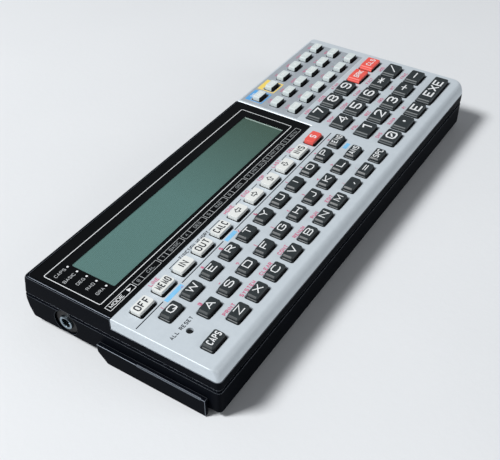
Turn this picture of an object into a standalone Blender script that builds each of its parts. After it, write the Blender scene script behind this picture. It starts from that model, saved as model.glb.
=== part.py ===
"""A pocket computer: a slab-shaped case with a liquid crystal display, eighty keys, a battery bay with a
sliding door, a memory pack bay and an expansion connector behind a cover on the left end.

Metres, +Z up, +X along the length, +Y from the user's side to the back. The origin is on the surface that
the feet stand on, under the middle of the whole object. Depths below the flat top are called drops.
"""
import bpy
import bmesh
from math import cos, pi, sin
from mathutils import Matrix

# Keys: the pitches, and the webs of panel left between the holes along the length and from row to row
key_pitch = 0.01093
row_pitch = 0.00902
letter_columns = 11
letter_rows = 3
letter_webs = (0.00293, 0.00392)
white_webs = (0.00283, 0.00392)
number_pitch = 0.01205
number_row_pitch = 0.01096
number_columns = 5
number_rows = 4
number_webs = (0.00235, 0.00396)
function_pitch = 0.00997
function_row_pitch = 0.0088
function_columns = 6
function_rows = 3
function_webs = (0.00337, 0.0041)
# How far the caps stand out of the panel, and their slopes and clearances
letter_cap_height = 0.00175
white_cap_height = 0.00155
number_cap_height = 0.0018
function_cap_height = 0.00185
letter_skirt = 0.0006
number_skirt = 0.0009
plain_skirt = 0.0003
cap_taper = 0.0003
cap_shoulder = 0.0003
key_clearance = 0.00035
key_flange = 0.0007
key_flange_thickness = 0.0008
key_travel = 0.0010

# Where each row's first key stands, in key pitches right of the first white key
row_start_shares = {"white": 0.0, "upper": 0.279, "middle": 0.988, "lower": 1.258, "caps": 0.009}

# Margins round the blocks of keys and round the display
first_key_x = 0.0094
first_row_y = 0.0083
first_number_row_y = 0.00942
block_gap = 0.0048
number_to_function_gap = 0.00455
first_function_shift = 0.0006
right_margin = 0.00455
back_margin = 0.00435
label_strip = 0.0032
display_end_share = 0.28
window_margin_left = 0.0120
window_margin_right = 0.0084
window_margin_front = 0.0079
window_margin_back = 0.0093

# Thicknesses and gaps
piece_gap = 0.0003
panel_thickness = 0.0015
panel_skirt_thickness = 0.0013
panel_skirt_height = 0.0044
case_wall = 0.0018
tray_wall = 0.0014
tray_deck = 0.0014
tray_rim = 0.0004
window_corner_share = 0.7
window_thickness = 0.0012
lcd_thickness = 0.0020
lcd_border = 0.0032
holder_floor = 0.0006
holder_wall = 0.0016
holder_flange = 0.0009
mat_thickness = 0.0006
dome_height = 0.0008
dome_side = 0.0030
dome_top_share = 0.7
key_board_thickness = 0.0012
main_board_thickness = 0.0014
main_board_drop = 0.0110
board_corner_share = 0.4

# The outside of the case
front_round = 0.0030
back_round = 0.0030
end_round = 0.0004
bottom_chamfer = 0.0023
foot_height = 0.0004
groove_drop = 0.0088
groove_depth = 0.0006
corner_radius_front_right = 0.0033
corner_radius_small = 0.0015
corner_steps = 4
# How far in the walls stand at each share of the case height: front, back and end, as shares of the rounds
wall_level_shares = (
    (0.00, 1.00, 1.00, 1.0),
    (0.02, 0.62, 0.76, 0.0),
    (0.06, 0.32, 0.57, 0.0),
    (0.13, 0.10, 0.46, 0.0),
    (0.23, 0.00, 0.36, 0.0),
    (0.45, 0.00, 0.05, 0.0),
    (0.57, 0.00, 0.00, 0.0),
    (0.72, 0.00, 0.17, 0.0),
    (0.88, 0.00, 0.60, 0.0),
    (1.00, 0.00, 0.80, 0.0),
)

# Reset button
reset_y = 0.0171
reset_hole_diameter = 0.0025
reset_flange_diameter = 0.0040
reset_recess = 0.0005

# Batteries, their bay and its door
cell_diameter = 0.0145
cell_length = 0.0505
cell_nub_diameter = 0.0055
cell_nub_length = 0.0010
cell_gap = 0.0004
contact_thickness = 0.0005
contact_spring_length = 0.0026
contact_spring_diameter = 0.0070
bay_wall = 0.0012
bay_left = 0.0132
door_thickness = 0.0014
door_lip_thickness = 0.0007
door_lip = 0.0010
door_frame = 0.0013

# Memory pack and its cover
memory_cover_thickness = 0.0009
memory_ledge = 0.0020
memory_bay_left_gap = 0.0050
memory_pack_size = (0.0460, 0.0230, 0.0060)

# Power jack
jack_to_post = 0.0013
jack_drop = 0.0139
jack_body_diameter = 0.0094
jack_body_length = 0.0105
jack_bore_diameter = 0.0055
jack_bore_depth = 0.0080
jack_pin_diameter = 0.0017
jack_pin_setback = 0.0015
jack_recess = 0.0008

# Expansion connector and its cover
connector_front = 0.0065
connector_back = 0.0450
connector_top_drop = 0.0146
connector_setback = 0.0060
connector_depth = 0.0055
connector_end_inset = 0.0020
socket_height = 0.0026
socket_depth = 0.0045
socket_end_wall = 0.0025
cover_overlap = 0.0020
cover_thickness = 0.0016
cover_top_rise = 0.0010
cover_cut_height = 0.0040
cover_cut_length = 0.0036
cover_tongue = 0.0013

# Boards' chips, sounder and backup cell
processor_size = (0.0200, 0.0140, 0.0022)
memory_chip_size = (0.0140, 0.0100, 0.0018)
processor_x_share = 0.36
memory_chip_x_share = 0.54
chips_y = 0.0220
coin_diameter = 0.0200
coin_thickness = 0.0032
sounder_thickness = 0.0022
coin_x_share = 0.24
sounder_x_share = 0.76
discs_y = 0.0240
disc_ring_wall = 0.0012
disc_ring_height = 0.0022

# Screw posts and feet
post_diameter = 0.0050
post_inset = 0.0070
front_post_inset = 0.0155
rear_post_inset = 0.0095
screw_hole_diameter = 0.0022
screw_hole_depth = 0.0060
screw_recess_diameter = 0.0046
screw_recess_depth = 0.0011
foot_width = 0.0040
foot_margin = 0.0035
front_foot_end_inset = 0.0220
rear_foot_length = 0.0120
rear_foot_y = 0.0500
foot_root = 0.0006

# Working values for cutters and joined shapes
overrun = 0.0010
round_sides = 24
small_round_sides = 16

# The holes in the panel
letter_hole = (key_pitch - letter_webs[0], row_pitch - letter_webs[1])
white_hole = (key_pitch - white_webs[0], row_pitch - white_webs[1])
number_hole = (number_pitch - number_webs[0], number_row_pitch - number_webs[1])
function_hole = (function_pitch - function_webs[0], function_row_pitch - function_webs[1])

# Places along the length, from the left end of the case
letter_hole_left = first_key_x + row_start_shares["upper"] * key_pitch - letter_hole[0] / 2
letter_block_end = letter_hole_left + (letter_columns - 1) * key_pitch + letter_hole[0]
number_x = letter_block_end + block_gap + number_hole[0] / 2
function_x = letter_block_end + block_gap + first_function_shift + function_hole[0] / 2
number_block_end = number_x + (number_columns - 1) * number_pitch + number_hole[0] / 2
function_block_end = function_x + (function_columns - 1) * function_pitch + function_hole[0] / 2
# The battery bay and the memory pack lie side by side under the keys, with a screw post at the right end
left_plate_x = bay_left + bay_wall + piece_gap
cells_x = left_plate_x + contact_thickness + piece_gap
springs_x = cells_x + 2 * cell_length + 2 * piece_gap
right_plate_x = springs_x + contact_spring_length
bay_x = (bay_left + bay_wall, right_plate_x + contact_thickness + piece_gap)
memory_left = bay_x[1] + bay_wall + memory_bay_left_gap
memory_x = (memory_left, memory_left + memory_pack_size[0])
storage_end = memory_x[1] + memory_ledge + 2 * piece_gap + post_inset + post_diameter
case_length = max(number_block_end + right_margin, function_block_end + right_margin, storage_end)
display_end = letter_block_end + block_gap * display_end_share

# Places from front to back
number_block_back = first_number_row_y + (number_rows - 1) * number_row_pitch + number_hole[1] / 2
function_y = number_block_back + number_to_function_gap + function_hole[1] / 2
flat_top_back = function_y + (function_rows - 1) * function_row_pitch + function_hole[1] / 2 + back_margin
case_depth = flat_top_back + back_round
display_front = first_row_y + letter_rows * row_pitch + white_hole[1] / 2 + label_strip

# Heights
lcd_stack = window_thickness + lcd_thickness + holder_floor + 2 * piece_gap
case_height = lcd_stack + cell_diameter + door_thickness + 2 * piece_gap
top = foot_height + case_height
floor_drop = case_height - case_wall
flange_top_drop = panel_thickness + piece_gap
flange_bottom_drop = flange_top_drop + key_flange_thickness
dome_top_drop = flange_bottom_drop + key_travel + piece_gap
mat_top_drop = dome_top_drop + dome_height
key_board_drop = mat_top_drop + mat_thickness + piece_gap
band_top_drop = panel_skirt_height + piece_gap

# The whole object's middle is the origin, and the connector cover stands out of the left end
cover_proud = cover_thickness + piece_gap
left = (cover_proud - case_length) / 2
front = -case_depth / 2


def clear_scene():
    for item in list(bpy.data.objects):
        bpy.data.objects.remove(item, do_unlink=True)


def make_collection(name, parent):
    collection = bpy.data.collections.new(name)
    parent.children.link(collection)
    return collection


clear_scene()
parts = make_collection("pocket_computer", bpy.context.scene.collection)
cutters = make_collection("cutters", bpy.context.scene.collection)


def make_material(name, colour, roughness, metallic=0.0):
    material = bpy.data.materials.new(name)
    material.use_nodes = True
    shader = material.node_tree.nodes["Principled BSDF"]
    shader.inputs["Base Color"].default_value = (*colour, 1.0)
    shader.inputs["Roughness"].default_value = roughness
    shader.inputs["Metallic"].default_value = metallic
    return material


materials = {
    "black_case": make_material("black_case", (0.012, 0.013, 0.016), 0.45),
    "silver_panel": make_material("silver_panel", (0.62, 0.65, 0.68), 0.38, 0.6),
    "window": make_material("window", (0.008, 0.009, 0.010), 0.06),
    "lcd": make_material("lcd", (0.13, 0.20, 0.17), 0.20),
    "black_key": make_material("black_key", (0.015, 0.017, 0.019), 0.40),
    "white_key": make_material("white_key", (0.80, 0.80, 0.76), 0.45),
    "grey_key": make_material("grey_key", (0.34, 0.37, 0.40), 0.45),
    "red_key": make_material("red_key", (0.75, 0.10, 0.08), 0.45),
    "rubber": make_material("rubber", (0.35, 0.36, 0.36), 0.80),
    "board": make_material("board", (0.03, 0.16, 0.07), 0.50),
    "chip": make_material("chip", (0.015, 0.015, 0.016), 0.55),
    "steel": make_material("steel", (0.60, 0.60, 0.58), 0.30, 1.0),
    "cell_jacket": make_material("cell_jacket", (0.10, 0.18, 0.30), 0.35, 0.2),
}


def link(name, mesh, material, collection=None):
    item = bpy.data.objects.new(name, mesh)
    (collection or parts).objects.link(item)
    if material:
        mesh.materials.append(materials[material])
    return item


def finish_mesh(name, shape):
    bmesh.ops.recalc_face_normals(shape, faces=shape.faces)
    mesh = bpy.data.meshes.new(name)
    shape.to_mesh(mesh)
    shape.free()
    return mesh


def add_loft(shape, sections):
    """Skin through sections of equal point counts, closed by a flat face at each end."""
    rings = [[shape.verts.new(point) for point in section] for section in sections]
    for lower, upper in zip(rings, rings[1:]):
        for i in range(len(lower)):
            j = (i + 1) % len(lower)
            shape.faces.new((lower[i], lower[j], upper[j], upper[i]))
    shape.faces.new(list(reversed(rings[0])))
    shape.faces.new(rings[-1])


def add_box(shape, low, high):
    size = [b - a for a, b in zip(low, high)]
    middle = [(a + b) / 2 for a, b in zip(low, high)]
    place = Matrix.Translation(middle) @ Matrix.Diagonal((*size, 1.0))
    bmesh.ops.create_cube(shape, size=1.0, matrix=place)


def add_cylinder(shape, centre, radius, low, high, axis="Z", sides=round_sides, radius_high=None):
    """A cylinder or cone along an axis, from low to high on it. centre holds the other two places."""
    middle = (low + high) / 2
    if axis == "X":
        turn = Matrix.Rotation(pi / 2, 4, "Y")
        place = (middle, *centre)
    else:
        turn = Matrix.Identity(4)
        place = (*centre, middle)
    bmesh.ops.create_cone(
        shape, cap_ends=True, segments=sides, radius1=radius,
        radius2=radius if radius_high is None else radius_high,
        depth=high - low, matrix=Matrix.Translation(place) @ turn)


def loft_object(name, sections, material=None, collection=None):
    shape = bmesh.new()
    add_loft(shape, sections)
    return link(name, finish_mesh(name, shape), material, collection)


def box_object(name, low, high, material=None, collection=None):
    shape = bmesh.new()
    add_box(shape, low, high)
    return link(name, finish_mesh(name, shape), material, collection)


def tool_object(name):
    """An empty cutter or joining shape, which stays out of the part."""
    item = link(name, bpy.data.meshes.new(name), None, cutters)
    item.hide_render = True
    item.display_type = "WIRE"
    return item


def make_tool(name, build):
    """A cutter or joining shape whose mesh the function build fills in."""
    shape = bmesh.new()
    build(shape)
    item = tool_object(name)
    bmesh.ops.recalc_face_normals(shape, faces=shape.faces)
    shape.to_mesh(item.data)
    shape.free()
    return item


def combine(target, operation, tool):
    modifier = target.modifiers.new(tool.name, "BOOLEAN")
    modifier.operation = operation
    modifier.solver = "EXACT"
    modifier.object = tool


def cut(target, name, build):
    combine(target, "DIFFERENCE", make_tool(name, build))


def join(target, name, build):
    combine(target, "UNION", make_tool(name, build))


def at(x, y, drop):
    """A point from its distance to the left end, the front and the flat top."""
    return (left + x, front + y, top - drop)


def wall_insets(drop):
    """How far in the front, back and end walls stand at a drop below the flat top."""
    share = min(max(drop / case_height, 0.0), 1.0)
    rounds = (front_round, back_round, end_round)
    for (low, *low_shares), (high, *high_shares) in zip(wall_level_shares, wall_level_shares[1:]):
        if share <= high:
            along = (share - low) / (high - low)
            return [(a + (b - a) * along) * r for a, b, r in zip(low_shares, high_shares, rounds)]
    return [a * r for a, r in zip(wall_level_shares[-1][1:], rounds)]


def case_outline(drop, inset=0.0):
    """The case's outline at a drop, moved in by inset: a rectangle with rounded corners."""
    front_in, back_in, end_in = wall_insets(drop)
    x_low = end_in + inset
    x_high = case_length - end_in - inset
    y_low = front_in + inset
    y_high = case_depth - back_in - inset
    corners = (
        (x_high, y_low, -1, 1, corner_radius_front_right, 270),
        (x_high, y_high, -1, -1, corner_radius_small, 0),
        (x_low, y_high, 1, -1, corner_radius_small, 90),
        (x_low, y_low, 1, 1, corner_radius_small, 180),
    )
    points = []
    for x, y, side_x, side_y, radius, start in corners:
        bend = max(radius - inset, end_round)
        for step in range(corner_steps + 1):
            angle = (start + 90 * step / corner_steps) * pi / 180
            centre_x = x + side_x * bend
            centre_y = y + side_y * bend
            points.append(at(centre_x + bend * cos(angle), centre_y + bend * sin(angle), drop))
    return points


def case_levels(high, low):
    """The drops between high and low at which the case's outline changes."""
    inner = [share[0] * case_height for share in wall_level_shares]
    return [high] + [drop for drop in inner if high < drop < low] + [low]


def case_sections(high, low, inset=0.0):
    return [case_outline(drop, inset) for drop in case_levels(high, low)]


def clip_corners(corners):
    """An outline from its corners, each x, y and the length cut off it along both sides."""
    points = []
    for i, (x, y, clip) in enumerate(corners):
        if not clip:
            points.append((x, y))
            continue
        for other_x, other_y, _ in (corners[i - 1], corners[(i + 1) % len(corners)]):
            side = ((other_x - x) ** 2 + (other_y - y) ** 2) ** 0.5
            points.append((x + (other_x - x) * clip / side, y + (other_y - y) * clip / side))
    return points


def prism_sections(outline, high, low):
    return [[at(x, y, drop) for x, y in outline] for drop in (high, low)]


def add_block(shape, x_range, y_range, drop_range):
    """A box given by distances from the left end and the front, and by drops from high to low."""
    add_box(shape, at(x_range[0], y_range[0], drop_range[1]), at(x_range[1], y_range[1], drop_range[0]))


def add_post(shape, x, y, diameter, drop_range, sides=round_sides, top_diameter=None):
    radius_high = None if top_diameter is None else top_diameter / 2
    add_cylinder(shape, (left + x, front + y), diameter / 2, top - drop_range[1], top - drop_range[0],
                 "Z", sides, radius_high)


def add_rod(shape, y, drop, diameter, x_range, sides=round_sides, end_diameter=None):
    """A cylinder along X, from the first to the second distance from the left end."""
    radius_high = None if end_diameter is None else end_diameter / 2
    add_cylinder(shape, (front + y, top - drop), diameter / 2, left + x_range[0], left + x_range[1],
                 "X", sides, radius_high)


# Where each key stands and what it measures
def letter_place(row, column):
    rows = {"caps": 0, "lower": 0, "middle": 1, "upper": 2, "white": 3}
    x = first_key_x + (row_start_shares[row] + column) * key_pitch
    return x, first_row_y + rows[row] * row_pitch


def number_place(column, row):
    return number_x + column * number_pitch, first_number_row_y + row * number_row_pitch


def function_place(column, row):
    return function_x + column * function_pitch, function_y + row * function_row_pitch


def key(place, hole, height, skirt):
    return {"place": place, "hole": hole, "height": height, "skirt": skirt}


def letter_key(row, column):
    return key(letter_place(row, column), letter_hole, letter_cap_height, letter_skirt)


def white_key(column):
    return key(letter_place("white", column), white_hole, white_cap_height, plain_skirt)


def number_key(column, row):
    return key(number_place(column, row), number_hole, number_cap_height, number_skirt)


def wide_key():
    """The double-width key fills the last two places of the front row."""
    (first_x, y), (last_x, _) = number_place(number_columns - 2, 0), number_place(number_columns - 1, 0)
    hole = (number_hole[0] + number_pitch, number_hole[1])
    return key(((first_x + last_x) / 2, y), hole, number_cap_height, number_skirt)


def function_key(column, row):
    return key(function_place(column, row), function_hole, function_cap_height, plain_skirt)


number_names = (
    ("zero_key", "point_key", "exponent_key"),
    ("one_key", "two_key", "three_key", "plus_key", "minus_key"),
    ("four_key", "five_key", "six_key", "times_key", "divide_key"),
    ("seven_key", "eight_key", "nine_key", "clear_key", "clear_all_key"),
)
red_number_keys = ("clear_key", "clear_all_key")


def list_keys():
    """Every moving key node: its name, material and keys. A bank is a row of keys on one runner."""
    nodes = [
        ("off_key", "white_key", [white_key(0)]),
        ("memory_function_keys", "white_key", [white_key(i) for i in range(1, 5)]),
        ("cursor_keys", "white_key", [white_key(i) for i in range(5, 9)]),
        ("insert_key", "white_key", [white_key(9)]),
        ("shift_key", "red_key", [white_key(10)]),
        ("upper_letter_keys", "black_key", [letter_key("upper", i) for i in range(letter_columns - 1)]),
        ("engineering_key", "black_key", [letter_key("upper", letter_columns - 1)]),
        ("middle_letter_keys", "black_key", [letter_key("middle", i) for i in range(letter_columns - 2)]),
        ("answer_key", "black_key", [letter_key("middle", letter_columns - 2)]),
        ("lower_letter_keys", "black_key", [letter_key("lower", i) for i in range(letter_columns - 2)]),
        ("space_key", "black_key", [letter_key("lower", letter_columns - 2)]),
        ("caps_key", "black_key", [letter_key("caps", 0)]),
    ]
    for row, names in enumerate(number_names):
        for column, name in enumerate(names):
            colour = "red_key" if name in red_number_keys else "black_key"
            nodes.append((name, colour, [number_key(column, row)]))
    nodes.append(("execute_key", "black_key", [wide_key()]))
    for row in range(function_rows):
        keys = [function_key(column, row) for column in range(function_columns)]
        nodes.append((f"function_keys_{row + 1}", "grey_key", keys))
    return nodes


key_nodes = list_keys()
all_keys = [single for _, _, keys in key_nodes for single in keys]


def rectangle(place, size, drop, trims=(0.0, 0.0, 0.0, 0.0)):
    """A rectangle about a place, with its left, right, front and back sides moved in by trims."""
    x_low = place[0] - size[0] / 2 + trims[0]
    x_high = place[0] + size[0] / 2 - trims[1]
    y_low = place[1] - size[1] / 2 + trims[2]
    y_high = place[1] + size[1] / 2 - trims[3]
    corners = ((x_low, y_low), (x_high, y_low), (x_high, y_high), (x_low, y_high))
    return [at(x, y, drop) for x, y in corners]


def cap_sections(single, root_drop):
    """A key's stem and cap, from inside its flange up to the cap's flat top."""
    stem = [side - 2 * key_clearance for side in single["hole"]]
    trims = (single["skirt"], cap_taper, cap_taper, cap_taper)
    return [
        rectangle(single["place"], stem, root_drop),
        rectangle(single["place"], stem, -cap_shoulder),
        rectangle(single["place"], stem, -single["height"], trims),
    ]


def make_single_key(name, material, single):
    flange = [side + 2 * key_flange for side in single["hole"]]
    base = [rectangle(single["place"], flange, drop) for drop in (flange_bottom_drop, flange_top_drop)]
    loft_object(name, base + cap_sections(single, flange_top_drop), material)


def make_key_bank(name, material, keys):
    first, last = keys[0], keys[-1]
    margins = [side / 2 + key_flange for side in first["hole"]]
    runner = bmesh.new()
    add_block(
        runner,
        (first["place"][0] - margins[0], last["place"][0] + margins[0]),
        (first["place"][1] - margins[1], first["place"][1] + margins[1]),
        (flange_top_drop, flange_bottom_drop))
    bank = link(name, finish_mesh(name, runner), material)
    root_drop = (flange_top_drop + flange_bottom_drop) / 2

    def caps(shape):
        for single in keys:
            add_loft(shape, cap_sections(single, root_drop))

    join(bank, f"{name}_caps", caps)


def make_keys():
    for name, material, keys in key_nodes:
        if len(keys) == 1:
            make_single_key(name, material, keys[0])
        else:
            make_key_bank(name, material, keys)


def make_reset_button():
    button = bmesh.new()
    add_post(button, first_key_x, reset_y, reset_flange_diameter, (flange_top_drop, flange_bottom_drop),
             small_round_sides)
    item = link("reset_button", finish_mesh("reset_button", button), "black_key")
    root_drop = (flange_top_drop + flange_bottom_drop) / 2
    pin_diameter = reset_hole_diameter - 2 * piece_gap

    def pin(shape):
        add_post(shape, first_key_x, reset_y, pin_diameter, (reset_recess, root_drop), small_round_sides)

    join(item, "reset_pin", pin)


def make_keyboard_panel():
    panel = loft_object("keyboard_panel", case_sections(0.0, panel_skirt_height), "silver_panel")

    def inside(shape):
        low = panel_skirt_height + overrun
        add_loft(shape, case_sections(panel_thickness, low, panel_skirt_thickness))

    def display_corner(shape):
        add_block(
            shape, (-overrun, display_end + piece_gap / 2),
            (display_front - piece_gap / 2, case_depth + overrun), (-overrun, panel_skirt_height + overrun))

    def holes(shape):
        for single in all_keys:
            drops = (flange_top_drop, -overrun)
            add_loft(shape, [rectangle(single["place"], single["hole"], drop) for drop in drops])
        add_post(
            shape, first_key_x, reset_y, reset_hole_diameter, (-overrun, flange_top_drop),
            small_round_sides)

    cut(panel, "panel_inside", inside)
    cut(panel, "panel_display_corner", display_corner)
    cut(panel, "panel_holes", holes)


# The display tray's edges, where the window plate sits, and the window's clear opening
tray_front = display_front + piece_gap / 2
tray_end = display_end - piece_gap / 2
window_x = (window_margin_left, display_end - window_margin_right)
window_y = (display_front + window_margin_front, flat_top_back - window_margin_back)
lcd_x = (window_x[0] - lcd_border, window_x[1] + lcd_border)
lcd_y = (window_y[0] - lcd_border, window_y[1] + lcd_border)
lcd_top_drop = window_thickness + piece_gap
lcd_bottom_drop = lcd_top_drop + lcd_thickness
holder_top_drop = lcd_top_drop + tray_deck + piece_gap
holder_bottom_drop = lcd_bottom_drop + piece_gap + holder_floor


def grow(span, amount):
    return span[0] - amount, span[1] + amount


def window_outline(gap, reach):
    """The window plate's outline, moved in by gap at the case's rim and out by reach at the key panel."""
    edge = end_round + tray_rim + gap
    back = flat_top_back - tray_rim - gap
    return clip_corners([
        (edge, tray_front - reach, 0), (tray_end + reach, tray_front - reach, 0),
        (tray_end + reach, back, 0), (edge, back, corner_radius_small * window_corner_share),
    ])


def make_upper_case():
    band_low = groove_drop - groove_depth
    sections = case_sections(0.0, band_low) + [case_outline(groove_drop, groove_depth)]
    upper = loft_object("upper_case", sections, "black_case")

    def panel_space(shape):
        high, low = -overrun, band_top_drop
        add_block(shape, (-overrun, case_length + overrun), (-overrun, tray_front), (high, low))

    def panel_end_space(shape):
        high, low = -overrun, band_top_drop
        add_block(
            shape, (tray_end, case_length + overrun), (display_front, case_depth + overrun), (high, low))

    def inside(shape):
        add_loft(shape, case_sections(band_top_drop - overrun, groove_drop + overrun, case_wall))

    def tray_inside(shape):
        add_block(
            shape, (case_wall, tray_end - tray_wall), (tray_front + tray_wall, flat_top_back - tray_wall),
            (lcd_top_drop + tray_deck, band_top_drop))

    def window_seat(shape):
        outline = window_outline(0.0, overrun)
        add_loft(shape, prism_sections(outline, lcd_top_drop, -overrun))

    def display_opening(shape):
        margin = holder_wall + 2 * piece_gap
        add_block(shape, grow(lcd_x, margin), grow(lcd_y, margin), (0.0, band_top_drop))

    cut(upper, "upper_panel_space", panel_space)
    cut(upper, "upper_panel_end_space", panel_end_space)
    cut(upper, "upper_inside", inside)
    cut(upper, "upper_tray_inside", tray_inside)
    cut(upper, "upper_window_seat", window_seat)
    cut(upper, "upper_display_opening", display_opening)


def make_display():
    loft_object(
        "display_window", prism_sections(window_outline(piece_gap, 0.0), window_thickness, 0.0), "window")
    low, high = at(lcd_x[0], lcd_y[0], lcd_bottom_drop), at(lcd_x[1], lcd_y[1], lcd_top_drop)
    box_object("lcd_glass", low, high, "lcd")
    wall = piece_gap + holder_wall
    holder = bmesh.new()
    outer_x, outer_y = grow(lcd_x, wall), grow(lcd_y, wall)
    add_block(holder, outer_x, outer_y, (lcd_top_drop, holder_bottom_drop))
    item = link("lcd_holder", finish_mesh("lcd_holder", holder), "chip")

    def flange(shape):
        add_block(
            shape, grow(outer_x, holder_flange), grow(outer_y, holder_flange),
            (holder_top_drop, holder_bottom_drop))

    def pocket(shape):
        add_block(
            shape, grow(lcd_x, piece_gap), grow(lcd_y, piece_gap),
            (-overrun, lcd_bottom_drop + piece_gap))

    join(item, "holder_flange", flange)
    cut(item, "holder_pocket", pocket)


# The L-shaped space for the key mat and boards, inside the case band and clear of the display tray
board_inset = case_wall + piece_gap
board_x = (board_inset, case_length - board_inset)
board_y_front = board_inset
board_y_step = tray_front - piece_gap
board_x_step = tray_end + piece_gap
board_y_back = flat_top_back - board_inset


def keyboard_outline():
    clip = corner_radius_front_right * board_corner_share
    return clip_corners([
        (board_x[0], board_y_front, clip), (board_x[1], board_y_front, clip),
        (board_x[1], board_y_back, clip), (board_x_step, board_y_back, 0),
        (board_x_step, board_y_step, 0), (board_x[0], board_y_step, 0),
    ])


def main_board_outline():
    clip = corner_radius_front_right * board_corner_share
    back = min(board_y_step, bay_front - bay_wall - piece_gap)
    return clip_corners([
        (board_x[0], board_y_front, clip), (board_x[1], board_y_front, clip),
        (board_x[1], back, 0), (board_x[0], back, 0),
    ])


def make_key_mat():
    low = mat_top_drop + mat_thickness
    mat = loft_object("key_mat", prism_sections(keyboard_outline(), low, mat_top_drop), "rubber")
    places = [single["place"] for single in all_keys] + [(first_key_x, reset_y)]
    root_drop = mat_top_drop + mat_thickness / 2
    top_side = dome_side * dome_top_share

    def domes(shape):
        for place in places:
            add_loft(shape, [
                rectangle(place, (dome_side, dome_side), root_drop),
                rectangle(place, (dome_side, dome_side), mat_top_drop - dome_height / 2),
                rectangle(place, (top_side, top_side), dome_top_drop),
            ])

    join(mat, "mat_domes", domes)


rear_post_y = case_depth - rear_post_inset
screw_posts = (
    (front_post_inset, post_inset),
    (case_length - post_inset, post_inset),
    (post_inset, rear_post_y),
    (case_length - post_inset, rear_post_y),
)


def make_boards():
    key_board_low = key_board_drop + key_board_thickness
    loft_object("key_board", prism_sections(keyboard_outline(), key_board_low, key_board_drop), "board")
    main_low = main_board_drop + main_board_thickness
    main_sections = prism_sections(main_board_outline(), main_low, main_board_drop)
    main = loft_object("main_board", main_sections, "board")

    def post_notches(shape):
        for x, y in screw_posts[:2]:
            add_post(
                shape, x, y, post_diameter + 2 * piece_gap,
                (main_board_drop - overrun, main_low + overrun))

    cut(main, "main_board_notches", post_notches)
    for name, size, share in (
            ("processor_chip", processor_size, processor_x_share),
            ("memory_chip", memory_chip_size, memory_chip_x_share)):
        chip = bmesh.new()
        x = case_length * share
        x_range, y_range = grow((x, x), size[0] / 2), grow((chips_y, chips_y), size[1] / 2)
        low = main_board_drop - piece_gap
        add_block(chip, x_range, y_range, (low - size[2], low))
        link(name, finish_mesh(name, chip), "chip")


def make_discs():
    low = floor_drop - piece_gap
    for name, thickness, share, material in (
            ("backup_cell", coin_thickness, coin_x_share, "steel"),
            ("sounder", sounder_thickness, sounder_x_share, "steel")):
        disc = bmesh.new()
        add_post(disc, case_length * share, discs_y, coin_diameter, (low - thickness, low))
        link(name, finish_mesh(name, disc), material)


# The two rows of cells, from front to back, and the door under them
cell_drop = lcd_stack + piece_gap + cell_diameter / 2
rear_cell_y = case_depth - back_round - cell_diameter / 2 - case_wall + cell_gap / 2
front_cell_y = rear_cell_y - cell_diameter - cell_gap
bay_front = front_cell_y - cell_diameter / 2 - piece_gap
door_opening_x = (bay_x[0] + door_frame, bay_x[1] - door_frame)
door_drop = case_height - door_thickness


def make_cell(name, column, y):
    start = cells_x + column * (cell_length + piece_gap)
    cell = bmesh.new()
    add_rod(cell, y, cell_drop, cell_diameter, (start, start + cell_length - cell_nub_length))
    item = link(name, finish_mesh(name, cell), "cell_jacket")

    def nub(shape):
        root = start + cell_length - 2 * cell_nub_length
        add_rod(shape, y, cell_drop, cell_nub_diameter, (root, start + cell_length), small_round_sides)

    join(item, f"{name}_nub", nub)


def make_contact(name, start, spring_x=None):
    """A plate across both rows of cells. spring_x is where its spring cones end, if it has them."""
    y_range = (bay_front + piece_gap, rear_cell_y + cell_diameter / 2 - 2 * piece_gap)
    drops = (cell_drop - contact_spring_diameter / 2, floor_drop - piece_gap)
    plate = bmesh.new()
    add_block(plate, (start, start + contact_thickness), y_range, drops)
    item = link(name, finish_mesh(name, plate), "steel")
    if spring_x is None:
        return

    def cones(shape):
        for y in (front_cell_y, rear_cell_y):
            add_rod(shape, y, cell_drop, cell_nub_diameter, (spring_x, start + contact_thickness / 2),
                    small_round_sides, contact_spring_diameter)

    join(item, f"{name}_cones", cones)


def make_batteries():
    rows = (("front", front_cell_y), ("rear", rear_cell_y))
    for row, y in rows:
        for column, side in enumerate(("left", "right")):
            make_cell(f"battery_cell_{row}_{side}", column, y)
    make_contact("battery_contact_left", left_plate_x)
    make_contact("battery_contact_right", right_plate_x, springs_x)


def make_battery_door():
    """The door fills the bottom under the cells out to the back, with a lip along each side."""
    door = loft_object("battery_door", hull_bottom_sections(door_drop), "black_case")

    def keep(shape):
        add_block(
            shape, (door_opening_x[0] + piece_gap, door_opening_x[1] - piece_gap),
            (bay_front + piece_gap, case_depth + overrun), (door_drop - overrun, case_height + overrun))

    def lips(shape):
        lip_low = door_drop + door_lip_thickness
        reach = door_lip - piece_gap
        back_edge = case_depth - wall_insets(door_drop)[1] - bottom_chamfer
        for x in (door_opening_x[0] + piece_gap - reach, door_opening_x[1] - piece_gap - overrun):
            add_block(
                shape, (x, x + reach + overrun), (bay_front + piece_gap, back_edge), (door_drop, lip_low))

    combine(door, "INTERSECT", make_tool("door_keep", keep))
    join(door, "door_lips", lips)


def hull_bottom_sections(high):
    """The case's outside from a drop down to the bottom, with the chamfer round the bottom edge."""
    chamfer_drop = case_height - bottom_chamfer
    bottom = case_outline(case_height, bottom_chamfer)
    if high < chamfer_drop:
        return case_sections(high, chamfer_drop) + [bottom]
    return [case_outline(high, high - chamfer_drop), bottom]


# The memory pack lies level with the middle of the battery bay
memory_pack_y = (bay_front + rear_cell_y + cell_diameter / 2) / 2
memory_y = (memory_pack_y - memory_pack_size[1] / 2, memory_pack_y + memory_pack_size[1] / 2)


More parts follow.
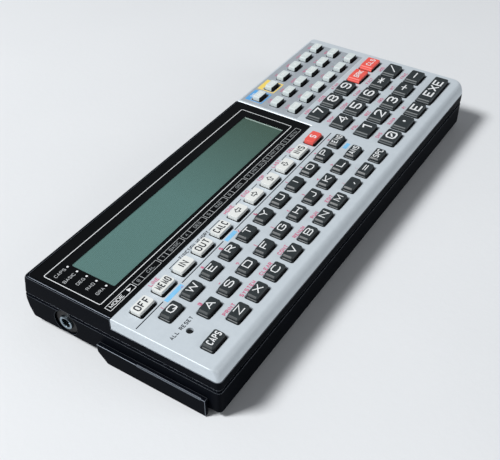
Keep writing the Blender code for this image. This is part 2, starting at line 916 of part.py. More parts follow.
def make_memory_pack():
    cover_top = case_height - memory_cover_thickness
    low = cover_top - piece_gap
    pack = bmesh.new()
    add_block(pack, memory_x, memory_y, (low - memory_pack_size[2], low))
    link("memory_pack", finish_mesh("memory_pack", pack), "chip")
    cover = bmesh.new()
    spread = memory_ledge + piece_gap
    add_block(cover, grow(memory_x, spread), grow(memory_y, spread), (cover_top, case_height))
    link("memory_cover", finish_mesh("memory_cover", cover), "black_case")


def make_lower_case():
    rim_low = groove_drop + piece_gap + groove_depth
    rim = [case_outline(groove_drop + piece_gap, groove_depth)]
    lower = loft_object("lower_case", rim + hull_bottom_sections(rim_low), "black_case")

    def inside(shape):
        add_loft(shape, case_sections(groove_drop - overrun, floor_drop, case_wall))

    cut(lower, "lower_inside", inside)
    join(lower, "lower_bay_walls", add_bay_walls)
    join(lower, "lower_disc_rings", add_disc_rings)
    cut(lower, "lower_disc_wells", add_disc_wells)
    join(lower, "lower_posts", add_screw_posts)
    join(lower, "lower_feet", add_feet)
    cut(lower, "lower_door_opening", add_door_opening)
    cut(lower, "lower_memory_opening", add_memory_opening)
    cut(lower, "lower_screw_holes", add_screw_holes)
    cut(lower, "lower_end_openings", add_end_openings)


def add_bay_walls(shape):
    """One U-shaped wall round the battery bay, rooted in the floor and in the back wall."""
    back = case_depth - wall_insets(floor_drop)[1] - case_wall / 2
    outer = (bay_x[0] - bay_wall, bay_x[1] + bay_wall, bay_front - bay_wall)
    outline = [
        (outer[0], back), (outer[0], outer[2]), (outer[1], outer[2]), (outer[1], back),
        (bay_x[1], back), (bay_x[1], bay_front), (bay_x[0], bay_front), (bay_x[0], back),
    ]
    add_loft(shape, prism_sections(outline, floor_drop + foot_root, groove_drop + piece_gap))


def add_disc_rings(shape):
    for share in (coin_x_share, sounder_x_share):
        add_post(
            shape, case_length * share, discs_y, coin_diameter + 2 * piece_gap + 2 * disc_ring_wall,
            (floor_drop - disc_ring_height, floor_drop + foot_root))


def add_disc_wells(shape):
    for share in (coin_x_share, sounder_x_share):
        add_post(
            shape, case_length * share, discs_y, coin_diameter + 2 * piece_gap,
            (floor_drop - disc_ring_height - overrun, floor_drop))


def add_screw_posts(shape):
    key_board_bottom = key_board_drop + key_board_thickness
    tops = (key_board_bottom, key_board_bottom, holder_bottom_drop, key_board_bottom)
    for (x, y), high in zip(screw_posts, tops):
        add_post(shape, x, y, post_diameter, (high + piece_gap, floor_drop + foot_root), small_round_sides)


def add_screw_holes(shape):
    for x, y in screw_posts:
        deep = case_height - screw_hole_depth
        add_post(shape, x, y, screw_hole_diameter, (deep, case_height + overrun), small_round_sides)


def add_screw_recesses(shape):
    for x, y in screw_posts:
        high = case_height - screw_recess_depth
        add_post(shape, x, y, screw_recess_diameter, (high, case_height + overrun), small_round_sides)


def add_feet(shape):
    drops = (case_height - foot_root, case_height + foot_height)
    front_y = bottom_chamfer + foot_margin - foot_width / 2
    add_block(
        shape, (front_foot_end_inset, case_length - front_foot_end_inset),
        (front_y, front_y + foot_width), drops)
    for x in (foot_margin, case_length - foot_margin - foot_width):
        add_block(shape, (x, x + foot_width), (rear_foot_y, rear_foot_y + rear_foot_length), drops)


def add_door_opening(shape):
    """The way through the floor for the cells, with a wider groove above for the door's lips."""
    back = case_depth + overrun
    add_block(shape, door_opening_x, (bay_front, back), (floor_drop - piece_gap, case_height + overrun))


def add_door_grooves(shape):
    lip_low = door_drop + door_lip_thickness
    add_block(
        shape, grow(door_opening_x, door_lip), (bay_front, case_depth + overrun),
        (floor_drop - 2 * piece_gap, lip_low + piece_gap))


def add_memory_opening(shape):
    add_block(
        shape, grow(memory_x, piece_gap), grow(memory_y, piece_gap),
        (floor_drop - overrun, case_height + overrun))


def add_memory_rebate(shape):
    spread = memory_ledge + 2 * piece_gap
    high = case_height - memory_cover_thickness - piece_gap
    add_block(shape, grow(memory_x, spread), grow(memory_y, spread), (high, case_height + overrun))


def add_end_openings(shape):
    add_block(
        shape, (-overrun, case_wall + overrun), (connector_front, connector_back),
        (connector_top_drop, floor_drop))
    add_rod(shape, jack_y, jack_drop, jack_body_diameter + 2 * piece_gap, (-overrun, case_wall + overrun))


# The jack stands in front of the rear left screw post
jack_y = rear_post_y - post_diameter / 2 - jack_to_post - jack_body_diameter / 2


def make_power_jack():
    start = jack_recess
    jack = bmesh.new()
    add_rod(jack, jack_y, jack_drop, jack_body_diameter, (start, start + jack_body_length))
    item = link("power_jack", finish_mesh("power_jack", jack), "chip")

    def bore(shape):
        add_rod(shape, jack_y, jack_drop, jack_bore_diameter, (start - overrun, start + jack_bore_depth))

    def pin(shape):
        pin_range = (start + jack_pin_setback, start + jack_bore_depth + overrun)
        add_rod(shape, jack_y, jack_drop, jack_pin_diameter, pin_range, small_round_sides)

    cut(item, "jack_bore", bore)
    join(item, "jack_pin", pin)


def make_expansion_connector():
    y_range = (connector_front + connector_end_inset, connector_back - connector_end_inset)
    x_range = (connector_setback, connector_setback + connector_depth)
    high = main_board_drop + main_board_thickness + piece_gap
    low = floor_drop - piece_gap
    body = bmesh.new()
    add_block(body, x_range, y_range, (high, low))
    item = link("expansion_connector", finish_mesh("expansion_connector", body), "chip")

    def socket(shape):
        middle = (connector_top_drop + low) / 2
        add_block(
            shape, (x_range[0] - overrun, x_range[0] + socket_depth), grow(y_range, -socket_end_wall),
            grow((middle, middle), socket_height / 2))

    cut(item, "connector_socket", socket)


def make_connector_cover():
    """A plate over the connector's opening, its lower back corner cut off, with a tongue in the opening."""
    high = connector_top_drop - cover_top_rise
    low = case_height
    y_low, y_high = grow((connector_front, connector_back), cover_overlap)
    outline = [
        (y_low, low), (y_high - cover_cut_length, low), (y_high, low - cover_cut_height), (y_high, high),
        (y_low, high),
    ]
    x_range = (-cover_proud, -piece_gap)
    cover = loft_object(
        "connector_cover", [[at(x, y, drop) for y, drop in outline] for x in x_range], "black_case")

    def tongue(shape):
        add_block(
            shape, (-cover_proud + cover_thickness / 2, cover_tongue - piece_gap),
            grow((connector_front, connector_back), -piece_gap),
            (connector_top_drop + piece_gap, floor_drop - piece_gap))

    join(cover, "cover_tongue", tongue)


def finish_lower_case():
    lower = bpy.data.objects["lower_case"]
    cut(lower, "lower_door_grooves", add_door_grooves)
    cut(lower, "lower_memory_rebate", add_memory_rebate)
    cut(lower, "lower_screw_recesses", add_screw_recesses)


make_keyboard_panel()
make_upper_case()
make_display()
make_keys()
make_reset_button()
make_key_mat()
make_boards()
make_discs()
make_batteries()
make_battery_door()
make_memory_pack()
make_lower_case()
finish_lower_case()
make_power_jack()
make_expansion_connector()
make_connector_cover()
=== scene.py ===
"""The looks of a pocket computer: detailed pieces, finishes, print, floor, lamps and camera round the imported
model. Metres, in the model's own frame: +X along the length, +Y to the back, +Z up.

Pieces are placed by distances from the case's left end and front, and by drops below its flat top. The
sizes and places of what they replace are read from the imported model.
"""

from math import cos, pi, radians, sin, sqrt

import bmesh
import bpy
from mathutils import Matrix, Vector


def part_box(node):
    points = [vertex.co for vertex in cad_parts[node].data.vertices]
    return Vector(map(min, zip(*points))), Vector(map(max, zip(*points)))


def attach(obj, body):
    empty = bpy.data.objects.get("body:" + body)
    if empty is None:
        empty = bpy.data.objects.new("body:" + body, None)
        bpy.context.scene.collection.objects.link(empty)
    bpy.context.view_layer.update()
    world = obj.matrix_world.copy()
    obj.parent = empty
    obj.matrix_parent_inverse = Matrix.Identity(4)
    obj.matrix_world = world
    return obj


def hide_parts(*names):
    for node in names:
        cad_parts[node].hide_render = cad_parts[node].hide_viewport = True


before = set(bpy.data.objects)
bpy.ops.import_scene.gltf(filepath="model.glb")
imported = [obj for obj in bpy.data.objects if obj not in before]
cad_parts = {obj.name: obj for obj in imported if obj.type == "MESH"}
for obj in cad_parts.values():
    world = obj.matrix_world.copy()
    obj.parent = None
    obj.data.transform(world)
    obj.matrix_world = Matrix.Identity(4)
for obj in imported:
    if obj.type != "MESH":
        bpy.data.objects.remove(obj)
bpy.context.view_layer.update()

# The case's ends, front, back, flat top and bottom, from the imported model
panel_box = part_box("keyboard_panel")
left = panel_box[0][0]
front = panel_box[0][1]
top = panel_box[1][2]
case_length = panel_box[1][0] - left
case_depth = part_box("upper_case")[1][1] - front
case_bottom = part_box("battery_door")[0][2]

# The key panel
piece_gap = 0.0003
panel_thickness = 0.0015
skirt_thickness = 0.0013
skirt_height = top - panel_box[0][2]
front_round = 0.0030
front_curve_drop = 0.0048
back_round = 0.0030
back_inset_shares = ((0.0, 1.0), (0.02, 0.76), (0.06, 0.57), (0.13, 0.46), (0.23, 0.36), (1.0, 0.30))
end_round = 0.0004
corner_radius_front_right = 0.0033
corner_radius_small = 0.0015
corner_steps = 8
panel_levels = (0.0, 0.00003, 0.0001, 0.00022, 0.0004, 0.0007, 0.0011, 0.0016, 0.0022, 0.0029, 0.0037)
case_height = top - case_bottom
# How far a cut reaches past a surface, how high print stands on it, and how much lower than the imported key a
# cap ends, to leave room for its legend
overrun = 0.0010
print_rise = 0.00002
legend_room = 0.00003

# Key holes and caps
key_flange = 0.0007
key_clearance = 0.00035
rim_bevel = 0.00022
rim_overrun = 0.0001
corner_chamfer = 0.00022
hole_corner = 0.0007
hole_corner_steps = 3
cap_corner = 0.0006
reset_hole_diameter = 0.0025
reset_place = (0.0094, 0.0171)
cap_root_drop = 0.0014
top_ring = 0.00025

# Each kind of key: its hole, how high its cap stands, and how far its top is in from the stem's left, right,
# front and back sides
key_kinds = {
    "white": {"hole": (0.0081, 0.0051), "height": 0.00155, "insets": (0.00015, 0.00008, 0.00035, 0.00005)},
    "letter": {"hole": (0.0080, 0.0051), "height": 0.00175, "insets": (0.00060, 0.00020, 0.00042, 0.00032)},
    "number": {"hole": (0.0097, 0.0070), "height": 0.00180, "insets": (0.00095, 0.00028, 0.00010, 0.00042)},
    "wide": {"hole": (0.02175, 0.0070), "height": 0.00180, "insets": (0.00095, 0.00028, 0.00010, 0.00042)},
    "function": {"hole": (0.0066, 0.0047), "height": 0.00185, "insets": (0.00040, 0.00025, 0.00035, 0.00025)},
}
# How a cap rises out of its hole: shares of its height, of its left inset and of its other insets. The letter
# keys have a foot and an overhanging ledge on the left, the number keys two ridges.
plain_rise_shares = (
    (0.00, 0.00, 0.00), (0.44, 0.00, 0.02), (0.62, 0.12, 0.16), (0.80, 0.35, 0.42), (0.93, 0.65, 0.72),
    (1.00, 1.00, 1.00))
ledge_rise_shares = (
    (0.02, -0.37, 0.00), (0.15, 0.00, 0.03), (0.17, 0.33, 0.05), (0.57, 0.12, 0.20), (0.65, 0.03, 0.25),
    (0.70, 0.08, 0.28), (0.92, 0.82, 0.60), (0.975, 0.93, 0.80), (1.00, 1.00, 1.00))
ridge_count = 2
first_ridge_share = 0.07
ridge_shares = ((0.00, 0.00), (0.10, -0.03), (0.24, 0.20))
ridge_pitch_share = 0.44
ridge_side_share = 0.7
ridged_kinds = ("number", "wide")
# The levels of a cap's front that are painted with the dark gap shade, a painted shade, where the function
# keys' front wall starts as a share of its inset, and how much deeper the white keys' holes are at the front
usual_painted_shade_levels = 5
painted_shade_levels = {"white": 2}
front_start_shares = {"function": 1.0}
front_rooms = {"white": 0.0004}


def ridge_rise_shares():
    rows = [(0.0, 0.0, 0.0)]
    for i in range(ridge_count):
        for rise, inset in ridge_shares:
            share = first_ridge_share + i * ridge_pitch_share + rise
            rows.append((share, i * ridge_pitch_share + inset, share * ridge_side_share))
    rows.append((1.0, 1.0, 1.0))
    return rows


rise_shares = {
    "white": plain_rise_shares, "function": plain_rise_shares, "letter": ledge_rise_shares,
    "number": ridge_rise_shares(), "wide": ridge_rise_shares(),
}

# The keys by kind and finish. Each node has its legends and the small red labels above its keys, from left to
# right.
no_label = "_"
key_groups = (
    ("white", "white_key", {
        "off_key": ("OFF", ""), "memory_function_keys": ("MEMO IN OUT CALC", "LINE"),
        "cursor_keys": ("left right up down", "HOME END TOP LAST"), "insert_key": ("INS", "DEL")}),
    ("white", "red_key", {"shift_key": ("S", "")}),
    ("letter", "black_key", {
        "upper_letter_keys": ("Q W E R T Y U I O P", "! \" # $ % & ' ( ) ~"),
        "engineering_key": ("ENG", "<"),
        "middle_letter_keys": ("A S D F G H J K L", "@ - ? [ ] { } < >"),
        "answer_key": ("ANS", ""),
        "lower_letter_keys": ("Z X C V B N M , =", "PRINT SYSTEM CLEAR CONT RENUM RUN EDIT ; :"),
        "space_key": ("SPC", ""), "caps_key": ("CAPS", "")}),
    ("number", "black_key", {
        "zero_key": ("0", "DMS"), "point_key": (".", "RAN#"), "exponent_key": ("E", "PI")}),
    ("wide", "black_key", {"execute_key": ("EXE", "")}),
    ("number", "black_key", {
        "one_key": ("1", "POL"), "two_key": ("2", "REC"), "three_key": ("3", "ABS"), "plus_key": ("+", "INT"),
        "minus_key": ("-", "FRAC"), "four_key": ("4", "SINH"), "five_key": ("5", "COSH"),
        "six_key": ("6", "TANH"), "times_key": ("*", "FACT"), "divide_key": ("/", "MOD"),
        "seven_key": ("7", "ASIN"), "eight_key": ("8", "ACOS"), "nine_key": ("9", "ATAN")}),
    ("number", "red_key", {"clear_key": ("BRK", ""), "clear_all_key": ("CLS", "")}),
    ("function", "grey_key", {
        "function_keys_1": ("HYP SIN COS TAN ( )", "EXP ASN ACS ATN [ ]"),
        "function_keys_2": ("√ X² ^ LOG LN 1/X", "CUR SQR ROOT 10^X E^X REC"),
        "function_keys_3": ("DEG RAD GRA X! NPR NCR", "_ _ INT ABS FRAC SGN")}),
)
key_nodes = {
    name: (kind, colour, legends.split(), labels.split())
    for kind, colour, nodes in key_groups for name, (legends, labels) in nodes.items()}
label_rises = {"white": 0.0041, "letter": 0.0037, "number": 0.0051, "function": 0.0036}

# Lettering: the height of its capitals, the width of a capital as a share of that, the line and the widest
# text. Words and signs have styles of their own on the letter and number keys.
legend_styles = {
    "white": (0.00280, 0.72, 0.00047, 0.0064),
    "letter": (0.00275, 1.28, 0.00038, 0.0053),
    "number": (0.00430, 1.12, 0.00068, 0.0062),
    "wide": (0.00410, 1.08, 0.00068, 0.0160),
    "function": (0.00125, 0.80, 0.00018, 0.0042),
}
word_styles = {
    "letter": (0.00240, 0.72, 0.00038, 0.0058),
    "number": (0.00240, 0.80, 0.00040, 0.0062),
}
sign_styles = {"number": (0.00430, 1.20, 0.00050, 0.0060), "letter": (0.00300, 1.30, 0.00036, 0.0053)}
label_style = (0.00150, 0.80, 0.00030, 0.0094)
number_label_style = (0.00150, 0.80, 0.00028, 0.0068)
function_label_style = (0.00120, 0.72, 0.00020, 0.0044)
caption_style = (0.00145, 0.74, 0.00027, 0.0164)
mode_style = (0.00140, 1.05, 0.00022, 0.0070)
strip_style = (0.00125, 0.85, 0.00018, 0.0090)
status_style = (0.00130, 0.82, 0.00018, 0.0064)
text_gap_share = 0.16
space_width = 2

# The display: the opening in the plate, the printed frame, the mode strip and the status words
window_opening = ((0.0120, 0.1187), (0.0490, 0.0677))
window_corner = 0.0006
window_bevel = 0.00015
bevel_middle_share = 1 / 3
window_plate_corner = corner_radius_small / 2
frame_line = ((0.0030, 0.12245), (0.04725, 0.07175))
frame_corner = 0.0006
frame_line_width = 0.00027
strip_y = (0.0427, 0.0454)
strip_x = (0.0027, 0.1223)
mode_box_length = 0.0130
strip_gap = 0.0006
strip_line_width = 0.00020
box_corner = 0.0002
box_corner_steps = 2
digit_box_share = 0.30
mode_word_share = 0.80
mode_word_inset = 0.0012
mode_arrow_inset = 0.0014
mode_arrow_size = 0.0016
mode_words = ("CAL", "BASIC", "DEG", "RAD", "GRA", "PRT ON", "PRT OFF", "MENU")
mode_digits = ("0", "1", "4", "5", "6", "7", "8", "9")
status_words = ("CAPS", "BASIC", "DEG", "RAD", "GRA")
status_dot_x = 0.0108
status_dot_diameter = 0.0008
status_word_end = 0.0096
status_first_y = 0.06806
status_pitch = 0.00417
pane_thickness = 0.00025
window_undercut = 0.0022
# The display glass's right edge, coloured bright as a painted highlight, and the polariser on the rest of the
# glass
glass_edge_x = (0.1181, 0.1185)
glass_edge_inset = 0.0002
glass_edge_drops = (0.00030, 0.00085)
polariser_drop = 0.00032
polariser_end_gap = 0.0007
# The display glass's tones at its left and right ends, lighter at the left and deeper at the right as painted
# light and shade, and its grid: dots a metre, line, dot width and height
lcd_lit_and_shaded_tones = ((0.235, 0.465, 0.440), (0.110, 0.190, 0.135))
lcd_turn_share = 0.45
lcd_grid = (1000.0, 0.05, 0.55, 0.62)
lcd_grid_colour = (0.165, 0.315, 0.280)


def at(x, y, drop):
    """A point from its distance to the left end, the front and the flat top."""
    return Vector((left + x, front + y, top - drop))


def local(node_name):
    """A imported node's ranges of distances from the left end, the front and the flat top."""
    low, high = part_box(node_name)
    return (low[0] - left, high[0] - left), (low[1] - front, high[1] - front), (top - high[2], top - low[2])


def widen(ends, reach):
    """A range made longer by a reach at both ends."""
    return ends[0] - reach, ends[1] + reach


def about(middle, length):
    """A range of some length about its middle."""
    return middle - length / 2, middle + length / 2


def full_circle(count):
    """So many even turns round a circle, in radians."""
    return [2 * pi * i / count for i in range(count)]


def around(place, size, grow=0.0):
    """The x and y ranges of a rectangle about a place."""
    return tuple(widen(about(middle, length), grow) for middle, length in zip(place, size))


# Finishes: two tones, the range of the roughness, and what differs from the usual look
moulded = {"grain": 7000.0, "mottle": 200.0}
plated = {"grain": 1500.0, "metallic": 1.0}
polished_depth = 0.000001
finishes = {
    "black_case": (
        (0.0022, 0.0030, 0.0048), (0.0036, 0.0046, 0.0072), (0.34, 0.46),
        {**moulded, "specular": 0.01, "mottle": 40.0}),
    # A lighter, metallic finish on the case's rounded edges: a painted highlight
    "case_edge_highlight": (
        (0.13, 0.15, 0.18), (0.16, 0.18, 0.21), (0.38, 0.46),
        {"metallic": 0.7, "grain_depth": polished_depth, "mottle": 40.0}),
    "silver_panel": (
        (0.590, 0.655, 0.705), (0.620, 0.685, 0.735), (0.34, 0.46),
        {**moulded, "specular": 0.40, "mottle": 500.0, "metallic": 0.12}),
    "panel_field": (
        (0.375, 0.415, 0.455), (0.405, 0.445, 0.485), (0.36, 0.48),
        {**moulded, "specular": 0.35, "mottle": 500.0, "metallic": 0.10}),
    # The display glass's right edge in a pale bright green: a painted highlight
    "glass_edge_highlight": ((0.70, 0.95, 0.85), (0.76, 0.98, 0.90), (0.15, 0.25), {"specular": 0.6}),
    "sleeve_metal": (
        (0.26, 0.33, 0.38), (0.34, 0.41, 0.46), (0.20, 0.30),
        {"metallic": 1.0, "grain_depth": polished_depth}),
    "window": (
        (0.0030, 0.0034, 0.0040), (0.0042, 0.0047, 0.0055), (0.03, 0.06),
        {"grain": 900.0, "grain_depth": polished_depth, "specular": 0.14}),
    "clear_pane": (
        (0.010, 0.012, 0.012), (0.014, 0.016, 0.016), (0.02, 0.05),
        {"grain": 700.0, "grain_depth": polished_depth}),
    # The display's tones: painted light at the left end and painted shade towards the right
    "lcd": (*lcd_lit_and_shaded_tones, (0.22, 0.30), {"grain": 3000.0, "grain_depth": 0.000003, "specular": 0.3}),
    "black_key": (
        (0.026, 0.033, 0.036), (0.032, 0.040, 0.043), (0.34, 0.46),
        {**moulded, "specular": 0.38, "mottle": 300.0}),
    # A lighter grey on the lit slopes of the black keys' ridges: a painted highlight
    "painted_ridge_highlight": ((0.105, 0.120, 0.125), (0.120, 0.135, 0.140), (0.36, 0.46), moulded),
    # A near-black finish painted where shade falls: on the caps' fronts, on their roots and runners in the
    # gaps, and on the reset button in its hole
    "gap_shade": ((0.006, 0.007, 0.008), (0.009, 0.010, 0.011), (0.60, 0.75), {**moulded, "specular": 0.20}),
    "white_key": ((0.76, 0.78, 0.76), (0.79, 0.81, 0.79), (0.36, 0.48), moulded),
    "grey_key": ((0.64, 0.71, 0.71), (0.68, 0.75, 0.75), (0.38, 0.50), moulded),
    "red_key": ((0.82, 0.105, 0.085), (0.87, 0.125, 0.10), (0.36, 0.48), moulded),
    "rubber": ((0.30, 0.31, 0.31), (0.36, 0.37, 0.37), (0.70, 0.85), {"grain": 5000.0}),
    "foot_rubber": ((0.030, 0.030, 0.032), (0.045, 0.045, 0.047), (0.75, 0.90), {"grain": 5000.0}),
    "board": ((0.02, 0.12, 0.05), (0.04, 0.20, 0.09), (0.30, 0.45), {"grain": 1500.0, "mottle": 250.0}),
    "chip": (
        (0.012, 0.012, 0.013), (0.022, 0.022, 0.023), (0.50, 0.65), {"grain": 6000.0, "specular": 0.3}),
    "steel": (
        (0.62, 0.62, 0.60), (0.72, 0.72, 0.70), (0.18, 0.32), {**plated, "grain_stretch": (1.0, 12.0, 12.0)}),
    "gold": ((0.80, 0.56, 0.20), (0.88, 0.64, 0.26), (0.20, 0.32), plated),
    "cell_jacket": ((0.012, 0.013, 0.015), (0.020, 0.021, 0.024), (0.22, 0.32), {"mottle": 80.0}),
    "cell_band": ((0.55, 0.26, 0.09), (0.62, 0.31, 0.12), (0.22, 0.32), {"metallic": 0.8, "mottle": 80.0}),
    "floor": (
        (0.74, 0.76, 0.78), (0.77, 0.79, 0.81), (0.70, 0.85),
        {"grain": 400.0, "mottle": 8.0, "grain_depth": 0.0001}),
}
# Inks: two tones
ink_roughness = (0.40, 0.55)
ink_look = {"mottle": 900.0, "specular": 0.4}
inks = {
    "white_print": ((0.80, 0.83, 0.84), (0.86, 0.88, 0.89)),
    "strip_print": ((0.42, 0.44, 0.45), (0.48, 0.50, 0.51)),
    "word_print": ((0.24, 0.26, 0.27), (0.29, 0.31, 0.32)),
    "grey_print": ((0.92, 0.94, 0.92), (0.95, 0.97, 0.95)),
    "dark_print": ((0.010, 0.013, 0.020), (0.018, 0.022, 0.030)),
    "red_print": ((0.62, 0.15, 0.26), (0.67, 0.18, 0.30)),
    "blue_print": ((0.20, 0.54, 0.86), (0.25, 0.59, 0.90)),
    "deep_blue_print": ((0.09, 0.36, 0.74), (0.12, 0.41, 0.79)),
    "yellow_print": ((0.90, 0.66, 0.14), (0.94, 0.71, 0.18)),
}
dark_print_specular = 0.2
pane_opacity = 0.18
broad_detail = 5.0
fine_detail = 3.0
bump_strength = 0.6
# Where most of a noise's values lie, and the numbers of a mix node's colour sockets
noise_span = (0.3, 0.7)
mix_inputs = (6, 7)
mix_output = 2


def set_values(item, **values):
    for name, value in values.items():
        setattr(item, name, value)
    return item


def node(tree, kind, **values):
    return set_values(tree.nodes.new(kind), **values)


def noise(tree, scale, detail, coordinates, stretch=None):
    """A noise texture at so many features a metre, stretched along the axes if asked."""
    texture = node(tree, "ShaderNodeTexNoise")
    texture.inputs["Scale"].default_value = scale
    texture.inputs["Detail"].default_value = detail
    source = coordinates.outputs["Object"]
    if stretch:
        mapping = node(tree, "ShaderNodeMapping")
        mapping.inputs["Scale"].default_value = stretch
        tree.links.new(source, mapping.inputs["Vector"])
        source = mapping.outputs["Vector"]
    tree.links.new(source, texture.inputs["Vector"])
    return texture.outputs["Fac"]


def blend_colours(tree, factor, *tones):
    """Two colours mixed by a factor."""
    mix = node(tree, "ShaderNodeMix", data_type="RGBA")
    tree.links.new(factor, mix.inputs["Factor"])
    for number, tone in zip(mix_inputs, tones):
        mix.inputs[number].default_value = (*tone, 1.0)
    return mix.outputs[mix_output]


def rescale(tree, value, to_range, from_range=noise_span):
    scale = node(tree, "ShaderNodeMapRange")
    for name, ends in (("From", from_range), ("To", to_range)):
        scale.inputs[f"{name} Min"].default_value = ends[0]
        scale.inputs[f"{name} Max"].default_value = ends[1]
    tree.links.new(value, scale.inputs["Value"])
    return scale.outputs["Result"]


def finish(name, low, high, roughness, metallic=0.0, grain=4000.0, grain_depth=0.000012, mottle=60.0,
           grain_stretch=None, specular=0.5):
    """A procedural finish: two tones that mottle, a roughness range and a fine grain."""
    material = bpy.data.materials.new(name)
    material.use_nodes = True
    tree = material.node_tree
    shader = tree.nodes["Principled BSDF"]
    shader.inputs["Metallic"].default_value = metallic
    shader.inputs["Specular IOR Level"].default_value = specular
    coordinates = node(tree, "ShaderNodeTexCoord")
    broad = rescale(tree, noise(tree, mottle, broad_detail, coordinates), (0.0, 1.0))
    tree.links.new(blend_colours(tree, broad, low, high), shader.inputs["Base Color"])
    fine = noise(tree, grain, fine_detail, coordinates, grain_stretch)
    tree.links.new(rescale(tree, fine, roughness), shader.inputs["Roughness"])
    bump = node(tree, "ShaderNodeBump")
    bump.inputs["Strength"].default_value = bump_strength
    bump.inputs["Distance"].default_value = grain_depth
    tree.links.new(fine, bump.inputs["Height"])
    tree.links.new(bump.outputs["Normal"], shader.inputs["Normal"])
    return material


def paint_display_shade_and_grid(material):
    """Paints the display's grey-green lighter at the left and deeper towards the right, as painted light and
    shade, with the faint grid of its dots.
    """
    tree = material.node_tree
    coordinates = node(tree, "ShaderNodeTexCoord")
    split = node(tree, "ShaderNodeSeparateXYZ")
    tree.links.new(coordinates.outputs["Object"], split.inputs["Vector"])
    start, end = window_opening[0]
    turn = left + start + (end - start) * lcd_turn_share
    across = rescale(tree, split.outputs["X"], (0.0, 1.0), (turn, left + end))
    tone = blend_colours(tree, across, *lcd_lit_and_shaded_tones)
    dots = node(tree, "ShaderNodeTexBrick", offset=0.0, squash=1.0)
    for socket, value in zip(("Scale", "Mortar Size", "Brick Width", "Row Height"), lcd_grid):
        dots.inputs[socket].default_value = value
    dots.inputs["Mortar"].default_value = (*lcd_grid_colour, 1.0)
    tree.links.new(coordinates.outputs["Object"], dots.inputs["Vector"])
    tree.links.new(tone, dots.inputs["Color1"])
    tree.links.new(tone, dots.inputs["Color2"])
    tree.links.new(dots.outputs["Color"], tree.nodes["Principled BSDF"].inputs["Base Color"])


def shader_inputs(name):
    return materials[name].node_tree.nodes["Principled BSDF"].inputs


materials = {name: finish(name, *tones, **look) for name, (*tones, look) in finishes.items()}
materials.update({name: finish(name, *tones, ink_roughness, **ink_look) for name, tones in inks.items()})
shader_inputs("dark_print")["Specular IOR Level"].default_value = dark_print_specular
shader_inputs("clear_pane")["Alpha"].default_value = pane_opacity
paint_display_shade_and_grid(materials["lcd"])

# Shapes
weld_distance = 0.000001
flat_degrees = 0.5
post_sides = 32
dot_sides = 16


def link(name, data, *finish_names):
    item = bpy.data.objects.new(name, data)
    bpy.context.scene.collection.objects.link(item)
    for finish_name in finish_names:
        data.materials.append(materials[finish_name])
    return item


def build(name, shape, *finish_names, face_outwards=True):
    """A mesh object of a shape."""
    if face_outwards:
        bmesh.ops.recalc_face_normals(shape, faces=shape.faces)
    mesh = bpy.data.meshes.new(name)
    shape.to_mesh(mesh)
    shape.free()
    return link(name, mesh, *finish_names)


def add_loft(shape, sections, finish_of=lambda level, side: 0, closed=False):
    """Skin through sections of equal point counts, which closes onto the first one or has a flat face at each
    end. Each face has the finish of its level and side, and an end has no side."""
    rings = [[shape.verts.new(point) for point in section] for section in sections]
    pairs = list(zip(rings, [*rings[1:], rings[0]]))
    for level, (lower, upper) in enumerate(pairs if closed else pairs[:-1]):
        for i in range(len(lower)):
            j = (i + 1) % len(lower)
            face = shape.faces.new((lower[i], lower[j], upper[j], upper[i]))
            face.material_index = finish_of(level, i)
    if not closed:
        for level, ring in ((0, list(reversed(rings[0]))), (len(rings) - 1, rings[-1])):
            shape.faces.new(ring).material_index = finish_of(level, None)


def add_block(shape, x_range, y_range, drop_range):
    low = at(x_range[0], y_range[0], drop_range[1])
    high = at(x_range[1], y_range[1], drop_range[0])
    place = Matrix.Translation((low + high) / 2) @ Matrix.Diagonal((*(high - low), 1.0))
    bmesh.ops.create_cube(shape, size=1.0, matrix=place)


def add_post(shape, place, diameter, drop_range):
    middle = at(*place, sum(drop_range) / 2)
    bmesh.ops.create_cone(
        shape, cap_ends=True, segments=post_sides, radius1=diameter / 2, radius2=diameter / 2,
        depth=drop_range[1] - drop_range[0], matrix=Matrix.Translation(middle))


def carve(item, builders):
    """Cuts shapes out of an object, one after the other, and applies the cuts."""
    tools = []
    for add_tool in builders:
        shape = bmesh.new()
        add_tool(shape)
        tool = build("tool", shape)
        cut = item.modifiers.new("carve", "BOOLEAN")
        set_values(cut, operation="DIFFERENCE", solver="EXACT", object=tool)
        tools.append(tool)
    mesh = bpy.data.meshes.new_from_object(item.evaluated_get(bpy.context.evaluated_depsgraph_get()))
    item.modifiers.clear()
    item.data = mesh
    for tool in tools:
        bpy.data.objects.remove(tool, do_unlink=True)


def smooth(item, sharp_degrees=35.0, bevel=0.0, segments=2, highlight_edge_finish=-1):
    """Rounds the sharp edges if asked, then shades smooth with flat faces kept flat."""
    shape = bmesh.new()
    shape.from_mesh(item.data)
    bmesh.ops.remove_doubles(shape, verts=shape.verts, dist=weld_distance)
    bmesh.ops.dissolve_limit(
        shape, angle_limit=radians(flat_degrees), verts=shape.verts, edges=shape.edges, delimit={"MATERIAL"})
    for face in shape.faces:
        face.smooth = True
    sharp_angle = radians(sharp_degrees)
    for edge in shape.edges:
        edge.smooth = bevel > 0 or len(edge.link_faces) != 2 or edge.calc_face_angle() < sharp_angle
    shape.to_mesh(item.data)
    shape.free()
    if bevel > 0:
        set_values(
            item.modifiers.new("rounding", "BEVEL"), width=bevel, segments=segments, limit_method="ANGLE",
            angle_limit=sharp_angle, use_clamp_overlap=True, material=highlight_edge_finish)
    set_values(item.modifiers.new("weighting", "WEIGHTED_NORMAL"), keep_sharp=True)


def settle(item, body, slot, *nodes):
    """Hands a finished piece to its body and hides the nodes it stands for. Its slot is not used."""
    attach(item, body)
    if nodes:
        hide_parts(*nodes)
    return item


def add_piece(name, shape, finish_names, body, slot, *nodes, **rounding):
    item = build(name, shape, *finish_names)
    smooth(item, **rounding)
    return settle(item, body, slot, *nodes)


